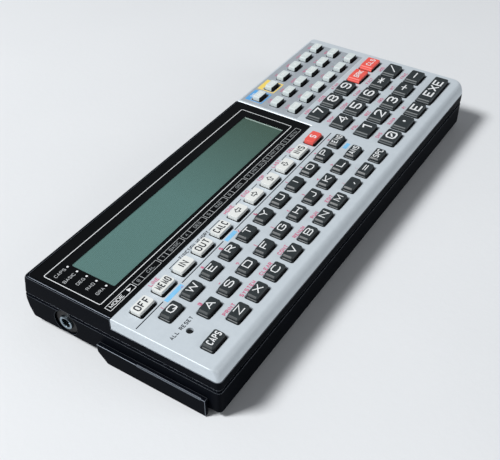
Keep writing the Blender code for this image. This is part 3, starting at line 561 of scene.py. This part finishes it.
def add_print(name, shape, print_name, body, slot):
    """A piece of print, whose faces already look up."""
    return settle(build(name, shape, print_name, face_outwards=False), body, slot)


def dress(node_name, body, bevel, slot, extra=(), edge=None):
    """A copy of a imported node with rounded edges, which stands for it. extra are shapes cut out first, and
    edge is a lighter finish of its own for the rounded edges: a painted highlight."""
    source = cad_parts[node_name]
    mesh = source.data.copy()
    mesh.transform(source.matrix_world)
    mesh.materials.clear()
    item = link(f"{node_name}_dressed", mesh, *([slot, edge] if edge else [slot]))
    if extra:
        carve(item, extra)
    smooth(item, bevel=bevel, highlight_edge_finish=1 if edge else -1)
    return settle(item, body, slot, node_name)


def rounded_outline(x_range, y_range, radii, drop, steps):
    """Points anticlockwise round a rectangle from its front right corner, with a radius for each corner."""
    points = []
    ends = ((1, 0), (1, 1), (0, 1), (0, 0))
    for turns, ((x_end, y_end), radius) in enumerate(zip(ends, radii), start=-1):
        x = x_range[x_end] + radius - 2 * radius * x_end
        y = y_range[y_end] + radius - 2 * radius * y_end
        for step in range(steps + 1):
            angle = pi / 2 * (turns + step / steps)
            points.append(at(x + radius * cos(angle), y + radius * sin(angle), drop))
    return points


def rounded_rectangle(x_range, y_range, radius, drop, steps):
    return rounded_outline(x_range, y_range, (radius, radius, radius, radius), drop, steps)


def rounded_stack(x_range, y_range, radius, levels, steps):
    """Sections for a loft: the same rounded rectangle at each drop, grown by a reach."""
    return [
        rounded_rectangle(widen(x_range, reach), widen(y_range, reach), radius, drop, steps)
        for drop, reach in levels]


# The key panel, with a smooth curve along its front and a bevelled rim round each hole
def wall_insets(drop):
    """How far in the front, back and end walls of the panel stand at a drop."""
    rise = 1 - min(drop / front_curve_drop, 1.0)
    front_in = front_round * (1 - sqrt(1 - rise * rise))
    share = drop / case_height
    back_in = 0.0
    for (low, low_in), (high, high_in) in zip(back_inset_shares, back_inset_shares[1:]):
        if low <= share <= high:
            back_in = back_round * (low_in + (high_in - low_in) * (share - low) / (high - low))
    rise = max(1 - drop / end_round, 0.0)
    end_in = end_round * (1 - sqrt(1 - rise * rise))
    return front_in, back_in, end_in


def case_outline(drop, inset=0.0):
    front_in, back_in, end_in = wall_insets(max(drop, 0.0))
    x_range = (end_in + inset, case_length - end_in - inset)
    y_range = (front_in + inset, case_depth - back_in - inset)
    radii = (corner_radius_front_right, corner_radius_small, corner_radius_small, corner_radius_small)
    bends = [max(radius - inset, end_round) for radius in radii]
    return rounded_outline(x_range, y_range, bends, drop, corner_steps)


def key_places(node_name):
    """The middle of each key of a node, from the left end and the front."""
    kind, _, legends, _ = key_nodes[node_name]
    x_range, y_range, _ = local(node_name)
    first, last = widen(x_range, -key_flange - key_kinds[kind]["hole"][0] / 2)
    y = sum(y_range) / 2
    if len(legends) == 1:
        return [((first + last) / 2, y)]
    pitch = (last - first) / (len(legends) - 1)
    return [(first + i * pitch, y) for i in range(len(legends))]


def make_panel():
    shape = bmesh.new()
    add_loft(shape, [case_outline(drop) for drop in (*panel_levels, skirt_height)])
    panel = build("key_panel", shape, "silver_panel")
    hole_bottom = panel_thickness + piece_gap

    def inside(tool):
        levels = [drop for drop in panel_levels if drop > panel_thickness]
        levels = (panel_thickness, *levels, skirt_height + overrun)
        add_loft(tool, [case_outline(drop, skirt_thickness) for drop in levels])

    def display_corner(tool):
        x_range, y_range, _ = local("display_window")
        levels = (
            (-rim_overrun, corner_chamfer + rim_overrun), (corner_chamfer, 0.0),
            (skirt_height + overrun, 0.0))
        sections = []
        for drop, reach in levels:
            x_low, x_high = -overrun, x_range[1] + piece_gap + reach
            y_low, y_high = y_range[0] - piece_gap - reach, case_depth + overrun
            corners = ((x_low, y_low), (x_high, y_low), (x_high, y_high), (x_low, y_high))
            sections.append([at(x, y, drop) for x, y in corners])
        add_loft(tool, sections)

    def holes(tool):
        levels = ((-rim_overrun, rim_bevel + rim_overrun), (rim_bevel, 0.0), (hole_bottom, 0.0))
        for node_name, (kind, *_) in key_nodes.items():
            for place in key_places(node_name):
                x_range, (y_low, y_high) = around(place, key_kinds[kind]["hole"])
                y_range = (y_low - front_rooms.get(kind, 0.0), y_high)
                add_loft(tool, [
                    rounded_rectangle(
                        widen(x_range, reach), widen(y_range, reach), hole_corner + reach, drop,
                        hole_corner_steps)
                    for drop, reach in levels])
        add_post(tool, reset_place, reset_hole_diameter, (-overrun, hole_bottom))

    carve(panel, (inside, display_corner, holes))
    smooth(panel)
    settle(panel, "case", "silver_panel", "keyboard_panel")


# Lettering, drawn with lines on a grid whose capitals are six units high. Each stroke lists its points as
# pairs of digits, and closes where it ends at its start.
glyphs = {
    "A": "00 26 40|12 32", "B": "33 03 06 36 45 44 33 42 41 30 00 03", "C": "45 36 16 05 01 10 30 41",
    "D": "00 06 36 45 41 30 00", "E": "46 06 00 40|03 33", "F": "46 06 00|03 33",
    "G": "45 36 16 05 01 10 30 41 43 23", "H": "00 06|40 46|03 43", "I": "00 06", "J": "01 10 20 31 36",
    "K": "00 06|46 03 40", "L": "06 00 40", "M": "00 06 21 46 40", "N": "00 06 40 46",
    "O": "10 30 41 45 36 16 05 01 10", "P": "00 06 36 45 44 33 03",
    "Q": "10 30 41 45 36 16 05 01 10|22 40", "R": "00 06 36 45 44 33 03|23 40",
    "S": "45 36 16 05 04 13 33 42 41 30 10 01", "T": "06 46|26 20", "U": "06 01 10 30 41 46",
    "V": "06 20 46", "W": "06 10 25 40 56", "X": "00 46|06 40", "Y": "06 23 46|23 20", "Z": "06 46 00 40",
    "0": "10 30 41 45 36 16 05 01 10|12 34", "1": "05 26 20", "2": "05 16 36 45 44 00 40",
    "3": "05 16 36 45 44 33 42 41 30 10 01|13 33", "4": "30 36 02 42", "5": "46 06 03 33 42 41 30 10 01",
    "6": "45 36 16 05 01 10 30 41 42 33 03", "7": "06 46 20",
    "8": "13 33 44 45 36 16 05 04 13 02 01 10 30 41 42 33", "9": "01 10 30 41 45 36 16 05 04 13 43",
    "(": "16 04 02 10", ")": "06 14 12 00", "[": "16 06 00 10", "]": "06 16 10 00",
    "{": "26 15 14 03 12 11 20", "}": "06 15 14 23 12 11 00", "<": "45 03 41", ">": "05 43 01",
    "!": "06 02|01 00", "\"": "04 06|24 26", "#": "10 16|30 36|02 42|04 44",
    "$": "45 36 16 05 04 13 33 42 41 30 10 01|26 20", "%": "00 46|05 06|40 41",
    "&": "40 04 05 16 25 24 02 01 10 20 42", "'": "04 06", "~": "02 14 32 44",
    "@": "41 30 10 01 05 16 36 45 42 22 24 44", "-": "03 43", "?": "05 16 36 45 44 23 22|21 20",
    ";": "04 05|12 00", ":": "04 05|01 02", ",": "12 00", "=": "02 42|04 44", "+": "03 43|21 25",
    "*": "21 25|02 44|04 42", "/": "00 46", "^": "04 26 44", "√": "03 10 26 46", "²": "05 16 25 03 23",
}
glyph_rows = 6
glyph_columns = 4
mitre_limit = 0.5
stroke_step = 0.000002


def read_glyph(letter):
    return [[(int(pair[0]), int(pair[1])) for pair in stroke.split()] for stroke in glyphs[letter].split("|")]


def add_stroke(shape, points, width, rise=print_rise):
    """Adds a flat line through points with mitred corners. It closes where it ends at its start."""
    closed = len(points) > 2 and points[0] == points[-1]
    corners = points[:-1] if closed else points
    count = len(corners)
    rails = []
    for i, point in enumerate(corners):
        sides = []
        for start, end in ((i - 1, i), (i, i + 1)):
            if closed or 0 <= start < end < count:
                along = Vector(corners[end % count]) - Vector(corners[start])
                sides.append(Vector((-along.y, along.x)).normalized())
        middle = (sides[0] + sides[-1]).normalized()
        reach = width / 2 / max(middle.dot(sides[0]), mitre_limit)
        rails.append([
            shape.verts.new(at(point[0] + side * middle.x * reach, point[1] + side * middle.y * reach, -rise))
            for side in (1, -1)])
    for i in range(count if closed else count - 1):
        first, second = rails[i], rails[(i + 1) % count]
        shape.faces.new((first[1], second[1], second[0], first[0]))


def write(shape, words, place, style, rise=print_rise, widest=None, align=0.5):
    """Writes words centred on a place, or starting or ending there where align is 0 or 1."""
    height, width_share, line, style_widest = style
    widest = widest or style_widest
    letters = [(read_glyph(letter) if letter != " " else []) for letter in words]
    units = [max([x for stroke in strokes for x, _ in stroke], default=space_width) for strokes in letters]
    scale_x = (height * width_share - line) / glyph_columns
    scale_y = (height - line) / glyph_rows
    gap = height * text_gap_share
    fixed = line * len(words)
    loose = sum(units) * scale_x + gap * (len(words) - 1)
    squeeze = min(1.0, (widest - fixed) / loose) if loose else 1.0
    x = place[0] - align * (fixed + loose * squeeze) + line / 2
    for strokes, unit in zip(letters, units):
        for i, stroke in enumerate(strokes):
            points = [
                (x + column * scale_x * squeeze, place[1] + (row - glyph_rows / 2) * scale_y)
                for column, row in stroke]
            add_stroke(shape, points, line, rise + i * stroke_step)
        x += (unit * scale_x + gap) * squeeze + line


def add_flat(shape, points, rise=print_rise):
    """Adds a flat polygon, given anticlockwise by its distances from the left end and the front."""
    shape.faces.new([shape.verts.new(at(x, y, -rise)) for x, y in points])


def add_rectangle(shape, x_range, y_range, rise=print_rise):
    add_flat(
        shape, [(x_range[0], y_range[0]), (x_range[1], y_range[0]), (x_range[1], y_range[1]),
                (x_range[0], y_range[1])], rise)


def add_box_line(shape, x_range, y_range, width, radius=box_corner, steps=box_corner_steps):
    """Adds a flat rectangular line with rounded corners inside the ranges."""
    corners = rounded_rectangle(widen(x_range, -width / 2), widen(y_range, -width / 2), radius, 0.0, steps)
    points = [(corner.x - left, corner.y - front) for corner in corners]
    add_stroke(shape, [*points, points[0]], width)


def add_dot(shape, place, diameter, rise=print_rise):
    radius = diameter / 2
    turns = full_circle(dot_sides)
    add_flat(shape, [(place[0] + radius * cos(turn), place[1] + radius * sin(turn)) for turn in turns], rise)


arrow_shares = (
    (0.0, 0.46), (-0.40, 0.05), (-0.18, 0.05), (-0.18, -0.42), (0.18, -0.42), (0.18, 0.05), (0.40, 0.05))
arrow_size = 0.0029
arrow_line = 0.00034
arrow_turns = {"up": 0, "left": 90, "down": 180, "right": 270}
point_diameter = 0.0012
signs = "+-*/=,"


def write_legend(shape, kind, legend, place, rise):
    if legend in arrow_turns:
        turn = Matrix.Rotation(radians(arrow_turns[legend]), 2)
        points = [Vector(place) + turn @ Vector(share) * arrow_size for share in arrow_shares]
        add_stroke(shape, [tuple(point) for point in (*points, points[0])], arrow_line, rise)
    elif legend == ".":
        add_dot(shape, place, point_diameter, rise)
    else:
        styles = legend_styles
        if len(legend) > 1 and kind in word_styles:
            styles = word_styles
        elif legend in signs and kind in sign_styles:
            styles = sign_styles
        write(shape, legend, place, styles[kind], rise)


# Keys: a rounded cap with its slopes on a root and runner in the gap shade, a painted shade, and its legend
# The black keys' ridges have their lit slopes in a lighter grey, a painted highlight
ridge_highlight_finishes = {"black_key": "painted_ridge_highlight"}
legend_prints = {
    "white_key": "dark_print", "red_key": "white_print", "black_key": "white_print", "grey_key": "grey_print"}
root_top_drop = 0.00012
cap_sharp_degrees = 62.0


def cap_ranges(kind, place, left_share, side_share):
    """A cap's x and y ranges at shares of its left inset and of its other insets."""
    (x_low, x_high), (y_low, y_high) = around(place, key_kinds[kind]["hole"], -key_clearance)
    left_in, right_in, front_in, back_in = key_kinds[kind]["insets"]
    front_share = max(side_share, front_start_shares.get(kind, 0.0))
    return (
        (x_low + left_in * left_share, x_high - right_in * side_share),
        (y_low + front_in * front_share, y_high - back_in * side_share))


def add_cap(shape, kind, place):
    """Adds a cap, with its second finish, a painted shade, on the front and its third one, a painted
    highlight, on the ridges' lit slopes.
    """
    height = key_kinds[kind]["height"] - legend_room

    def ring(drop, left_share, side_share, inset=0.0):
        x_range, y_range = cap_ranges(kind, place, left_share, side_share)
        return rounded_rectangle(
            widen(x_range, -inset), widen(y_range, -inset), cap_corner - inset, drop, hole_corner_steps)

    rows = rise_shares[kind]
    sections = [ring(root_top_drop, *rows[0][1:])]
    sections += [ring(-height * height_share, *inset_shares) for height_share, *inset_shares in rows]
    sections.append(ring(-height, 1.0, 1.0, top_ring))
    points = hole_corner_steps + 1
    starts = range(0, len(sections[0]), points)
    front_right, _, back_left, front_left = (range(start, start + points) for start in starts)
    front_sides = (*front_right[:-1], *front_left[1:])
    painted_highlight_levels = [(i + 1) * len(ridge_shares) for i in range(ridge_count)] if kind in ridged_kinds else ()
    painted_shade_count = painted_shade_levels.get(kind, usual_painted_shade_levels)

    def finish_of(level, side):
        if level < painted_shade_count and side in front_sides:
            return 1
        return 2 if level in painted_highlight_levels and side in back_left else 0

    add_loft(shape, sections, finish_of)


def make_keys():
    for node_name, (kind, colour, legends, _) in key_nodes.items():
        left_in, right_in, front_in, back_in = key_kinds[kind]["insets"]
        rise = key_kinds[kind]["height"] - legend_room + print_rise
        caps, roots, letters = bmesh.new(), bmesh.new(), bmesh.new()
        for (x, y), legend in zip(key_places(node_name), legends):
            add_cap(caps, kind, (x, y))
            stem = cap_ranges(kind, (x, y), 0.0, 0.0)
            levels = ((cap_root_drop + print_rise, 0.0), (root_top_drop, 0.0))
            add_loft(roots, rounded_stack(*stem, cap_corner, levels, hole_corner_steps))
            middle = (x + (left_in - right_in) / 2, y + (front_in - back_in) / 2)
            write_legend(letters, kind, legend, middle, rise)
        x_range, y_range, (_, runner_drop) = local(node_name)
        add_block(roots, x_range, y_range, (cap_root_drop + key_clearance, runner_drop))
        # A cap's own colour, the gap shade on its front (a painted shade), and a painted highlight on its
        # ridges
        cap_finishes = (colour, "gap_shade", ridge_highlight_finishes.get(colour, colour))
        add_piece(
            f"{node_name}_caps", caps, cap_finishes, node_name, colour, node_name,
            sharp_degrees=cap_sharp_degrees)
        # The roots and runner are painted with the gap shade: a painted shade in the gaps round the caps
        add_piece(f"{node_name}_roots", roots, ("gap_shade",), node_name, colour)
        add_print(f"{node_name}_legends", letters, legend_prints[colour], node_name, colour)


# The panel's print: lines, red labels, blue patches and two coloured boxes
field_rise = print_rise / 2
label_rise = 2 * print_rise
divider_y = 0.03145
divider_spans = ((0.0012, 0.0149), (0.0249, 0.0489), (0.0560, 0.1267))
divider_width = 0.00036
blue_patches = (
    ((0.0154, 0.0242), (0.0300, 0.0316)), ((0.0495, 0.0556), (0.0300, 0.0316)),
    ((0.1198, 0.1238), (0.0212, 0.0228)))
bracket_y = 0.0389
bracket_tick = 0.0008
bracket_width = 0.00027
bracket_spans = ((0.0281, 0.0334), (0.0510, 0.0572))
cursor_brackets = ((0.0680, 0.0714), (0.0787, 0.0823), (0.0897, 0.0932), (0.1004, 0.1038))
memory_caption_place = (0.04215, 0.0389)
reset_caption_place = (0.0145, 0.0199)
patch_reach = ((-0.0042, 0.0044), (-0.0033, 0.0050))
patch_gap = 0.0004
function_field = ((0.1284, 0.1888), (0.0485, 0.0762))
function_rows = ("function_keys_1", "function_keys_2", "function_keys_3")
label_styles = {
    "white": number_label_style, "letter": label_style, "number": number_label_style,
    "function": function_label_style}


def add_patch_round_hole(shape, place):
    """Adds a coloured patch about a function key's hole, wider at the back for its label."""
    (x_low, x_high), (y_low, y_high) = around(place, key_kinds["function"]["hole"], patch_gap)
    (x_start, x_end), (y_start, y_end) = (
        (middle + low, middle + high) for middle, (low, high) in zip(place, patch_reach))
    for x_range, y_range in (
            ((x_start, x_end), (y_start, y_low)), ((x_start, x_end), (y_high, y_end)),
            ((x_start, x_low), (y_low, y_high)), ((x_high, x_end), (y_low, y_high))):
        add_rectangle(shape, x_range, y_range)


def add_field(shape):
    """Adds the darker field round the function keys, left open at each hole."""
    x_field, (y_done, y_end) = function_field
    for node_name in sorted(function_rows, key=lambda name: key_places(name)[0][1]):
        holes = [around(place, key_kinds["function"]["hole"], rim_bevel) for place in key_places(node_name)]
        y_low, y_high = holes[0][1]
        add_rectangle(shape, x_field, (y_done, y_low), field_rise)
        edges = [x_field[0], *[x for x_range, _ in holes for x in x_range], x_field[1]]
        for x_range in zip(edges[::2], edges[1::2]):
            add_rectangle(shape, x_range, (y_low, y_high), field_rise)
        y_done = y_high
    add_rectangle(shape, x_field, (y_done, y_end), field_rise)


def make_panel_print():
    prints = {name: bmesh.new() for name in ("field", "deep_blue", "white", "dark", "red", "blue", "yellow")}
    dark = prints["dark"]
    for start, end in divider_spans:
        add_stroke(dark, [(start, divider_y), (end, divider_y)], divider_width)
    (first_start, first_end), (last_start, last_end) = bracket_spans
    tick_y = bracket_y - bracket_tick
    brackets = [
        [(start, tick_y), (start, bracket_y), (end, bracket_y)]
        for start, end in ((first_start, first_end), *cursor_brackets)]
    for bracket in (*brackets, [(last_start, bracket_y), (last_end, bracket_y), (last_end, tick_y)]):
        add_stroke(dark, bracket, bracket_width)
    write(dark, "FUNCTION MEMORY", memory_caption_place, caption_style)
    write(dark, "ALL RESET", reset_caption_place, caption_style, align=1.0)
    for node_name, (kind, _, _, labels) in key_nodes.items():
        for (x, y), label in zip(key_places(node_name), labels):
            if label != no_label:
                write(prints["red"], label, (x, y + label_rises[kind]), label_styles[kind], label_rise)
    add_field(prints["field"])
    for x_range, y_range in blue_patches:
        add_rectangle(prints["blue"], x_range, y_range)
    first, second = key_places("function_keys_3")[:2]
    add_patch_round_hole(prints["deep_blue"], first)
    add_patch_round_hole(prints["yellow"], second)
    label_place = (first[0], first[1] + label_rises["function"])
    write(prints["white"], "DMS", label_place, function_label_style, label_rise)
    add_print("panel_field", prints.pop("field"), "panel_field", "case", "silver_panel")
    for name, shape in prints.items():
        add_print(f"{name}_panel_print", shape, f"{name}_print", "case", "silver_panel")


# The display window: a glossy plate with an opening, a clear pane in it, the display's front polariser and
# the glass's edge under that, coloured bright as a painted highlight, and white print on top
def make_window():
    x_range, y_range, (_, thickness) = local("display_window")
    shape = bmesh.new()
    round_in = window_bevel * bevel_middle_share
    levels = ((thickness, 0.0), (window_bevel, 0.0), (round_in, -round_in), (0.0, -window_bevel))
    add_loft(shape, rounded_stack(x_range, y_range, window_plate_corner, levels, hole_corner_steps))
    plate = build("window_plate", shape, "window")

    def opening(tool):
        levels = (
            (-overrun, 0.0), (pane_thickness, 0.0), (thickness, window_undercut),
            (thickness + overrun, window_undercut))
        add_loft(tool, rounded_stack(*window_opening, window_corner, levels, corner_steps))

    carve(plate, (opening,))
    smooth(plate)
    settle(plate, "case", "window", "display_window")
    pane = bmesh.new()
    levels = ((pane_thickness, -print_rise), (0.0, -print_rise))
    add_loft(pane, rounded_stack(*window_opening, window_corner, levels, corner_steps))
    add_piece("window_pane", pane, ("clear_pane",), "case", "window")
    x_open, y_open = window_opening
    polariser = bmesh.new()
    polariser_x = (x_open[0], glass_edge_x[0] - polariser_end_gap)
    _, _, (lcd_top_drop, _) = local("lcd_glass")
    levels = ((lcd_top_drop, 0.0), (polariser_drop, 0.0))
    add_loft(polariser, rounded_stack(polariser_x, y_open, window_corner, levels, corner_steps))
    add_piece("display_polariser", polariser, ("lcd",), "case", "lcd")
    strip = bmesh.new()
    add_block(strip, glass_edge_x, widen(y_open, -glass_edge_inset), glass_edge_drops)
    add_piece("display_edge_highlight", strip, ("glass_edge_highlight",), "case", "lcd", bevel=small_bevel)


def make_window_print():
    lines, boxes, words = bmesh.new(), bmesh.new(), bmesh.new()
    add_box_line(lines, *frame_line, frame_line_width, frame_corner, corner_steps)
    strip_middle = sum(strip_y) / 2
    mode_end = strip_x[0] + mode_box_length
    add_box_line(lines, (strip_x[0], mode_end), strip_y, strip_line_width)
    write(lines, "MODE", (strip_x[0] + mode_word_inset, strip_middle), mode_style, align=0.0)
    tip = mode_end - mode_arrow_inset
    back = tip - mode_arrow_size
    arrow_low, arrow_high = about(strip_middle, mode_arrow_size)
    add_flat(lines, [(back, arrow_low), (tip, strip_middle), (back, arrow_high)])
    start = mode_end + strip_gap
    pitch = (strip_x[1] + strip_gap - start) / len(mode_words)
    for i, (digit, label) in enumerate(zip(mode_digits, mode_words)):
        x = start + i * pitch
        split = x + (pitch - strip_gap) * digit_box_share
        end = x + pitch - strip_gap
        add_box_line(boxes, (x, end), strip_y, strip_line_width)
        bar = [(split, y) for y in widen(strip_y, -strip_line_width)]
        add_stroke(boxes, bar, strip_line_width)
        write(words, digit, ((x + split) / 2, strip_middle), strip_style)
        write(
            words, label, ((split + end) / 2, strip_middle), strip_style,
            widest=(end - split) * mode_word_share)
    for i, label in enumerate(status_words):
        y = status_first_y - i * status_pitch
        write(boxes, label, (status_word_end, y), status_style, align=1.0)
        add_dot(lines, (status_dot_x, y), status_dot_diameter)
    add_print("window_lines", lines, "white_print", "case", "window")
    add_print("window_boxes", boxes, "strip_print", "case", "window")
    add_print("window_words", words, "word_print", "case", "window")


# The case and the covers
case_bevel = 0.00020
door_bevel = 0.00016
rib_pitch = 0.00060
rib_notch = 0.00030
rib_depth = 0.00035
rib_span_shares = (0.04, 0.62)
door_groove_count = 7
door_groove_pitch = 0.0013
door_groove_width = 0.0006
door_groove_depth = 0.0004
door_groove_length = 0.0150
cover_slot = (0.0090, 0.0012, 0.0003)


def make_case():
    # The rounded edges of the case and covers have a lighter finish of their own, a painted highlight
    dress("upper_case", "case", case_bevel, "black_case", edge="case_edge_highlight")
    lower = dress("lower_case", "case", case_bevel, "black_case", edge="case_edge_highlight")
    lower.data.materials.append(materials["foot_rubber"])
    for face in lower.data.polygons:
        if all(lower.data.vertices[i].co.z < case_bottom + print_rise for i in face.vertices) and (
                face.center.z < case_bottom - print_rise):
            face.material_index = 2

    def door_grooves(tool):
        x_range, y_range, (_, drop) = local("battery_door")
        for i in range(door_groove_count):
            y = sum(y_range) / 2 + (i - (door_groove_count - 1) / 2) * door_groove_pitch
            add_block(
                tool, about(sum(x_range) / 2, door_groove_length), (y, y + door_groove_width),
                (drop - door_groove_depth, drop + overrun))

    def pry_slot(tool):
        x_range, (_, y_high), (_, drop) = local("memory_cover")
        length, width, depth = cover_slot
        add_block(
            tool, about(sum(x_range) / 2, length), (y_high - 2 * width, y_high - width),
            (drop - depth, drop + overrun))

    def cover_ribs(tool):
        (x_low, _), (y_low, y_high), (drop, _) = local("connector_cover")
        first, last = (y_low + share * (y_high - y_low) for share in rib_span_shares)
        for i in range(int((last - first) / rib_pitch)):
            y = first + i * rib_pitch
            add_block(
                tool, (x_low - overrun, x_low + rib_depth), (y, y + rib_notch),
                (drop - overrun, drop + rib_depth))

    for name, body, cut in (
            ("battery_door", "battery_door", door_grooves), ("memory_cover", "case", pry_slot),
            ("connector_cover", "connector_cover", cover_ribs)):
        dress(name, body, door_bevel, "black_case", (cut,), "case_edge_highlight")


# Turned pieces: cells, screw heads, the jack's sleeve, contact springs and connector pins
turned_sides = 40
# Rings of a cell: how far along it is, its radius and its finish up to the next ring
cell_rings = (
    (0.0, 0.0046, 1), (0.00015, 0.0052, 1), (0.0002, 0.0060, 0), (0.00045, 0.0069, 0), (0.0008, 0.00725, 0),
    (0.0355, 0.00725, 2), (0.0486, 0.00725, 2), (0.0490, 0.0069, 2), (0.0492, 0.0060, 1), (0.0493, 0.0048, 1),
    (0.0494, 0.00275, 1), (0.0503, 0.00270, 1), (0.0505, 0.00240, 1))
cell_names = ("front_left", "front_right", "rear_left", "rear_right")
screw_places = ((0.0155, 0.007), (0.186, 0.007), (0.007, 0.0705), (0.186, 0.0705))
screw_rings = (
    (0.0, 0.0009, 0), (0.0001, 0.0019, 0), (0.00045, 0.0019, 0), (0.0006, 0.0017, 0), (0.00072, 0.0012, 0))
screw_seat_rise = 0.0011
screw_slot = (0.0024, 0.0005, 0.00035)
sleeve_rings = (
    (0.0, 0.00245, 0), (0.00015, 0.00262, 0), (0.0040, 0.00262, 0), (0.0040, 0.0020, 0), (0.0005, 0.0017, 0),
    (0.00015, 0.00185, 0))
sleeve_reach = 0.0009
spring_turns = 4.5
spring_wire = 0.00035
spring_radii = (0.0032, 0.0022)
spring_steps = 20
spring_wire_sides = 8
contact_bevel = 0.00012
socket_rise = 0.00205
pin_count = 15
pin_rows = (-0.0006, 0.0006)
pin_side = 0.0004
pin_length = 0.0034
pin_margin = 0.0040
pin_bevel = pin_side / 4
small_bevel = 0.00012
spring_sharp_degrees = 80.0
along_x = Vector((1.0, 0.0, 0.0))
down = Vector((0.0, 0.0, -1.0))


def add_turned(shape, place, direction, rings, closed=False):
    """Adds rings about a line from a place. They close onto the first one, or have flat ends."""
    across = direction.orthogonal().normalized()
    other = direction.cross(across)
    sections = [
        [place + direction * along + (across * cos(turn) + other * sin(turn)) * radius
         for turn in full_circle(turned_sides)]
        for along, radius, _ in rings]
    add_loft(shape, sections, lambda level, side: rings[level][2], closed)


def add_coil(shape, start, length):
    """Adds a conical spring along -X from a place, as a wire swept along a helix."""
    count = round(spring_turns * spring_steps)
    sections = []
    for i in range(count + 1):
        share = i / count
        turn = 2 * pi * spring_turns * share
        radius = spring_radii[0] + (spring_radii[1] - spring_radii[0]) * share
        outward = Vector((0.0, cos(turn), sin(turn)))
        centre = start - along_x * length * share + outward * radius
        sections.append([
            centre + (outward * cos(angle) + along_x * sin(angle)) * spring_wire / 2
            for angle in full_circle(spring_wire_sides)])
    add_loft(shape, sections)


def left_face(name):
    """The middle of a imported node's left face."""
    low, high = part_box(name)
    return Vector((low[0], (low[1] + high[1]) / 2, (low[2] + high[2]) / 2))


def make_cells():
    for name in cell_names:
        shape = bmesh.new()
        add_turned(shape, left_face(f"battery_cell_{name}"), along_x, cell_rings)
        cell_finishes = ("cell_jacket", "steel", "cell_band")
        add_piece(f"cell_{name}", shape, cell_finishes, "case", "cell_jacket", f"battery_cell_{name}")


def make_contacts():
    dress("battery_contact_left", "case", contact_bevel, "steel")
    left_x, _, _ = local("battery_contact_left")
    x_range, y_range, drop_range = local("battery_contact_right")
    plate_start = x_range[1] - (left_x[1] - left_x[0])
    shape = bmesh.new()
    add_block(shape, (plate_start, x_range[1]), y_range, drop_range)
    add_piece(
        "contact_plate", shape, ("steel",), "case", "steel", "battery_contact_right", bevel=contact_bevel)
    coils = bmesh.new()
    for name in ("front_right", "rear_right"):
        start = left_face(f"battery_cell_{name}")
        start.x = left + plate_start - spring_wire
        add_coil(coils, start, plate_start - 2 * spring_wire - x_range[0])
    add_piece(
        "contact_springs", coils, ("steel",), "case", "steel", sharp_degrees=spring_sharp_degrees)


def slot_cut(place, size, drop_range):
    """A builder for carve, of a straight slot about a place."""
    return lambda tool: add_block(tool, *around(place, size), drop_range)


def make_screws():
    seat = case_height - screw_seat_rise
    face = seat + screw_rings[-1][0]
    length, width, depth = screw_slot
    for i, place in enumerate(screw_places):
        shape = bmesh.new()
        add_turned(shape, at(*place, seat), down, screw_rings)
        head = build(f"screw_{i}", shape, "steel")
        sizes = ((length, width), (width, length))
        carve(head, [slot_cut(place, size, (face - depth, face + overrun)) for size in sizes])
        smooth(head)
        settle(head, "case", "steel")


def make_jack():
    dress("power_jack", "case", small_bevel, "chip")
    shape = bmesh.new()
    add_turned(shape, left_face("power_jack") - along_x * sleeve_reach, along_x, sleeve_rings, closed=True)
    add_piece("jack_sleeve", shape, ("sleeve_metal",), "case", "chip")


def make_connector():
    dress("expansion_connector", "case", small_bevel, "chip")
    (_, x_high), y_range, (_, drop_high) = local("expansion_connector")
    first, last = widen(y_range, -pin_margin)
    pitch = (last - first) / (pin_count - 1)
    x_end = x_high - overrun
    shape = bmesh.new()
    for i in range(pin_count):
        for row in pin_rows:
            across, down_from_top = (
                about(middle, pin_side) for middle in (first + i * pitch, drop_high - socket_rise + row))
            add_block(shape, (x_end - pin_length, x_end), across, down_from_top)
    add_piece("connector_pins", shape, ("gold",), "case", "chip", bevel=pin_bevel, segments=1)


def make_inner_pieces():
    for name, slot in (
            ("lcd_glass", "lcd"), ("processor_chip", "chip"), ("memory_chip", "chip"), ("lcd_holder", "chip"),
            ("memory_pack", "chip"), ("sounder", "steel"), ("backup_cell", "steel"), ("key_mat", "rubber")):
        dress(name, "case", small_bevel, slot)
    for name in ("key_board", "main_board"):
        for material_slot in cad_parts[name].material_slots:
            material_slot.material = materials["board"]
    button = dress("reset_button", "reset_button", small_bevel, "black_key")
    # The reset button is painted with the gap shade: a painted shade in its hole
    button.data.materials[0] = materials["gap_shade"]


# The floor, the light and the camera
floor_reach = 3.0
world_colour = (0.90, 0.94, 1.0, 1.0)
world_strength = 0.16
# Lamps that look at the middle of the floor: place, size and power
lamps = {"key_light": ((-0.90, 0.72, 1.50), 0.45, 38.0), "fill_light": ((0.30, -1.20, 0.50), 0.8, 3.4)}
camera_place = (-0.21649, -0.12955, 0.20608)
camera_turn_degrees = (49.17049, 0.38441, -57.42055)
camera_lens = 58.46
camera_shift = 0.001
sensor_width = 36.0
clip_start = 0.01


def make_stage():
    shape = bmesh.new()
    bmesh.ops.create_grid(shape, x_segments=2, y_segments=2, size=floor_reach)
    floor = build("floor", shape, "floor")
    world = bpy.data.worlds.new("studio")
    world.use_nodes = True
    background = world.node_tree.nodes["Background"]
    background.inputs["Color"].default_value = world_colour
    background.inputs["Strength"].default_value = world_strength
    bpy.context.scene.world = world
    for name, (place, size, power) in lamps.items():
        lamp = set_values(bpy.data.lights.new(name, "AREA"), energy=power, size=size)
        turn = (-Vector(place)).to_track_quat("-Z", "Y").to_euler()
        set_values(link(name, lamp), location=place, rotation_euler=turn)


def make_camera():
    lens = set_values(
        bpy.data.cameras.new("camera"), lens=camera_lens, sensor_width=sensor_width, sensor_fit="HORIZONTAL",
        clip_start=clip_start, shift_x=-camera_shift, shift_y=camera_shift)
    turns = [radians(turn) for turn in camera_turn_degrees]
    bpy.context.scene.camera = set_values(link("camera", lens), location=camera_place, rotation_euler=turns)


make_panel()
make_keys()
make_panel_print()
make_window()
make_window_print()
make_case()
make_cells()
make_contacts()
make_screws()
make_jack()
make_connector()
make_inner_pieces()
make_stage()
make_camera()
bpy.context.scene.view_settings.view_transform = "Standard"
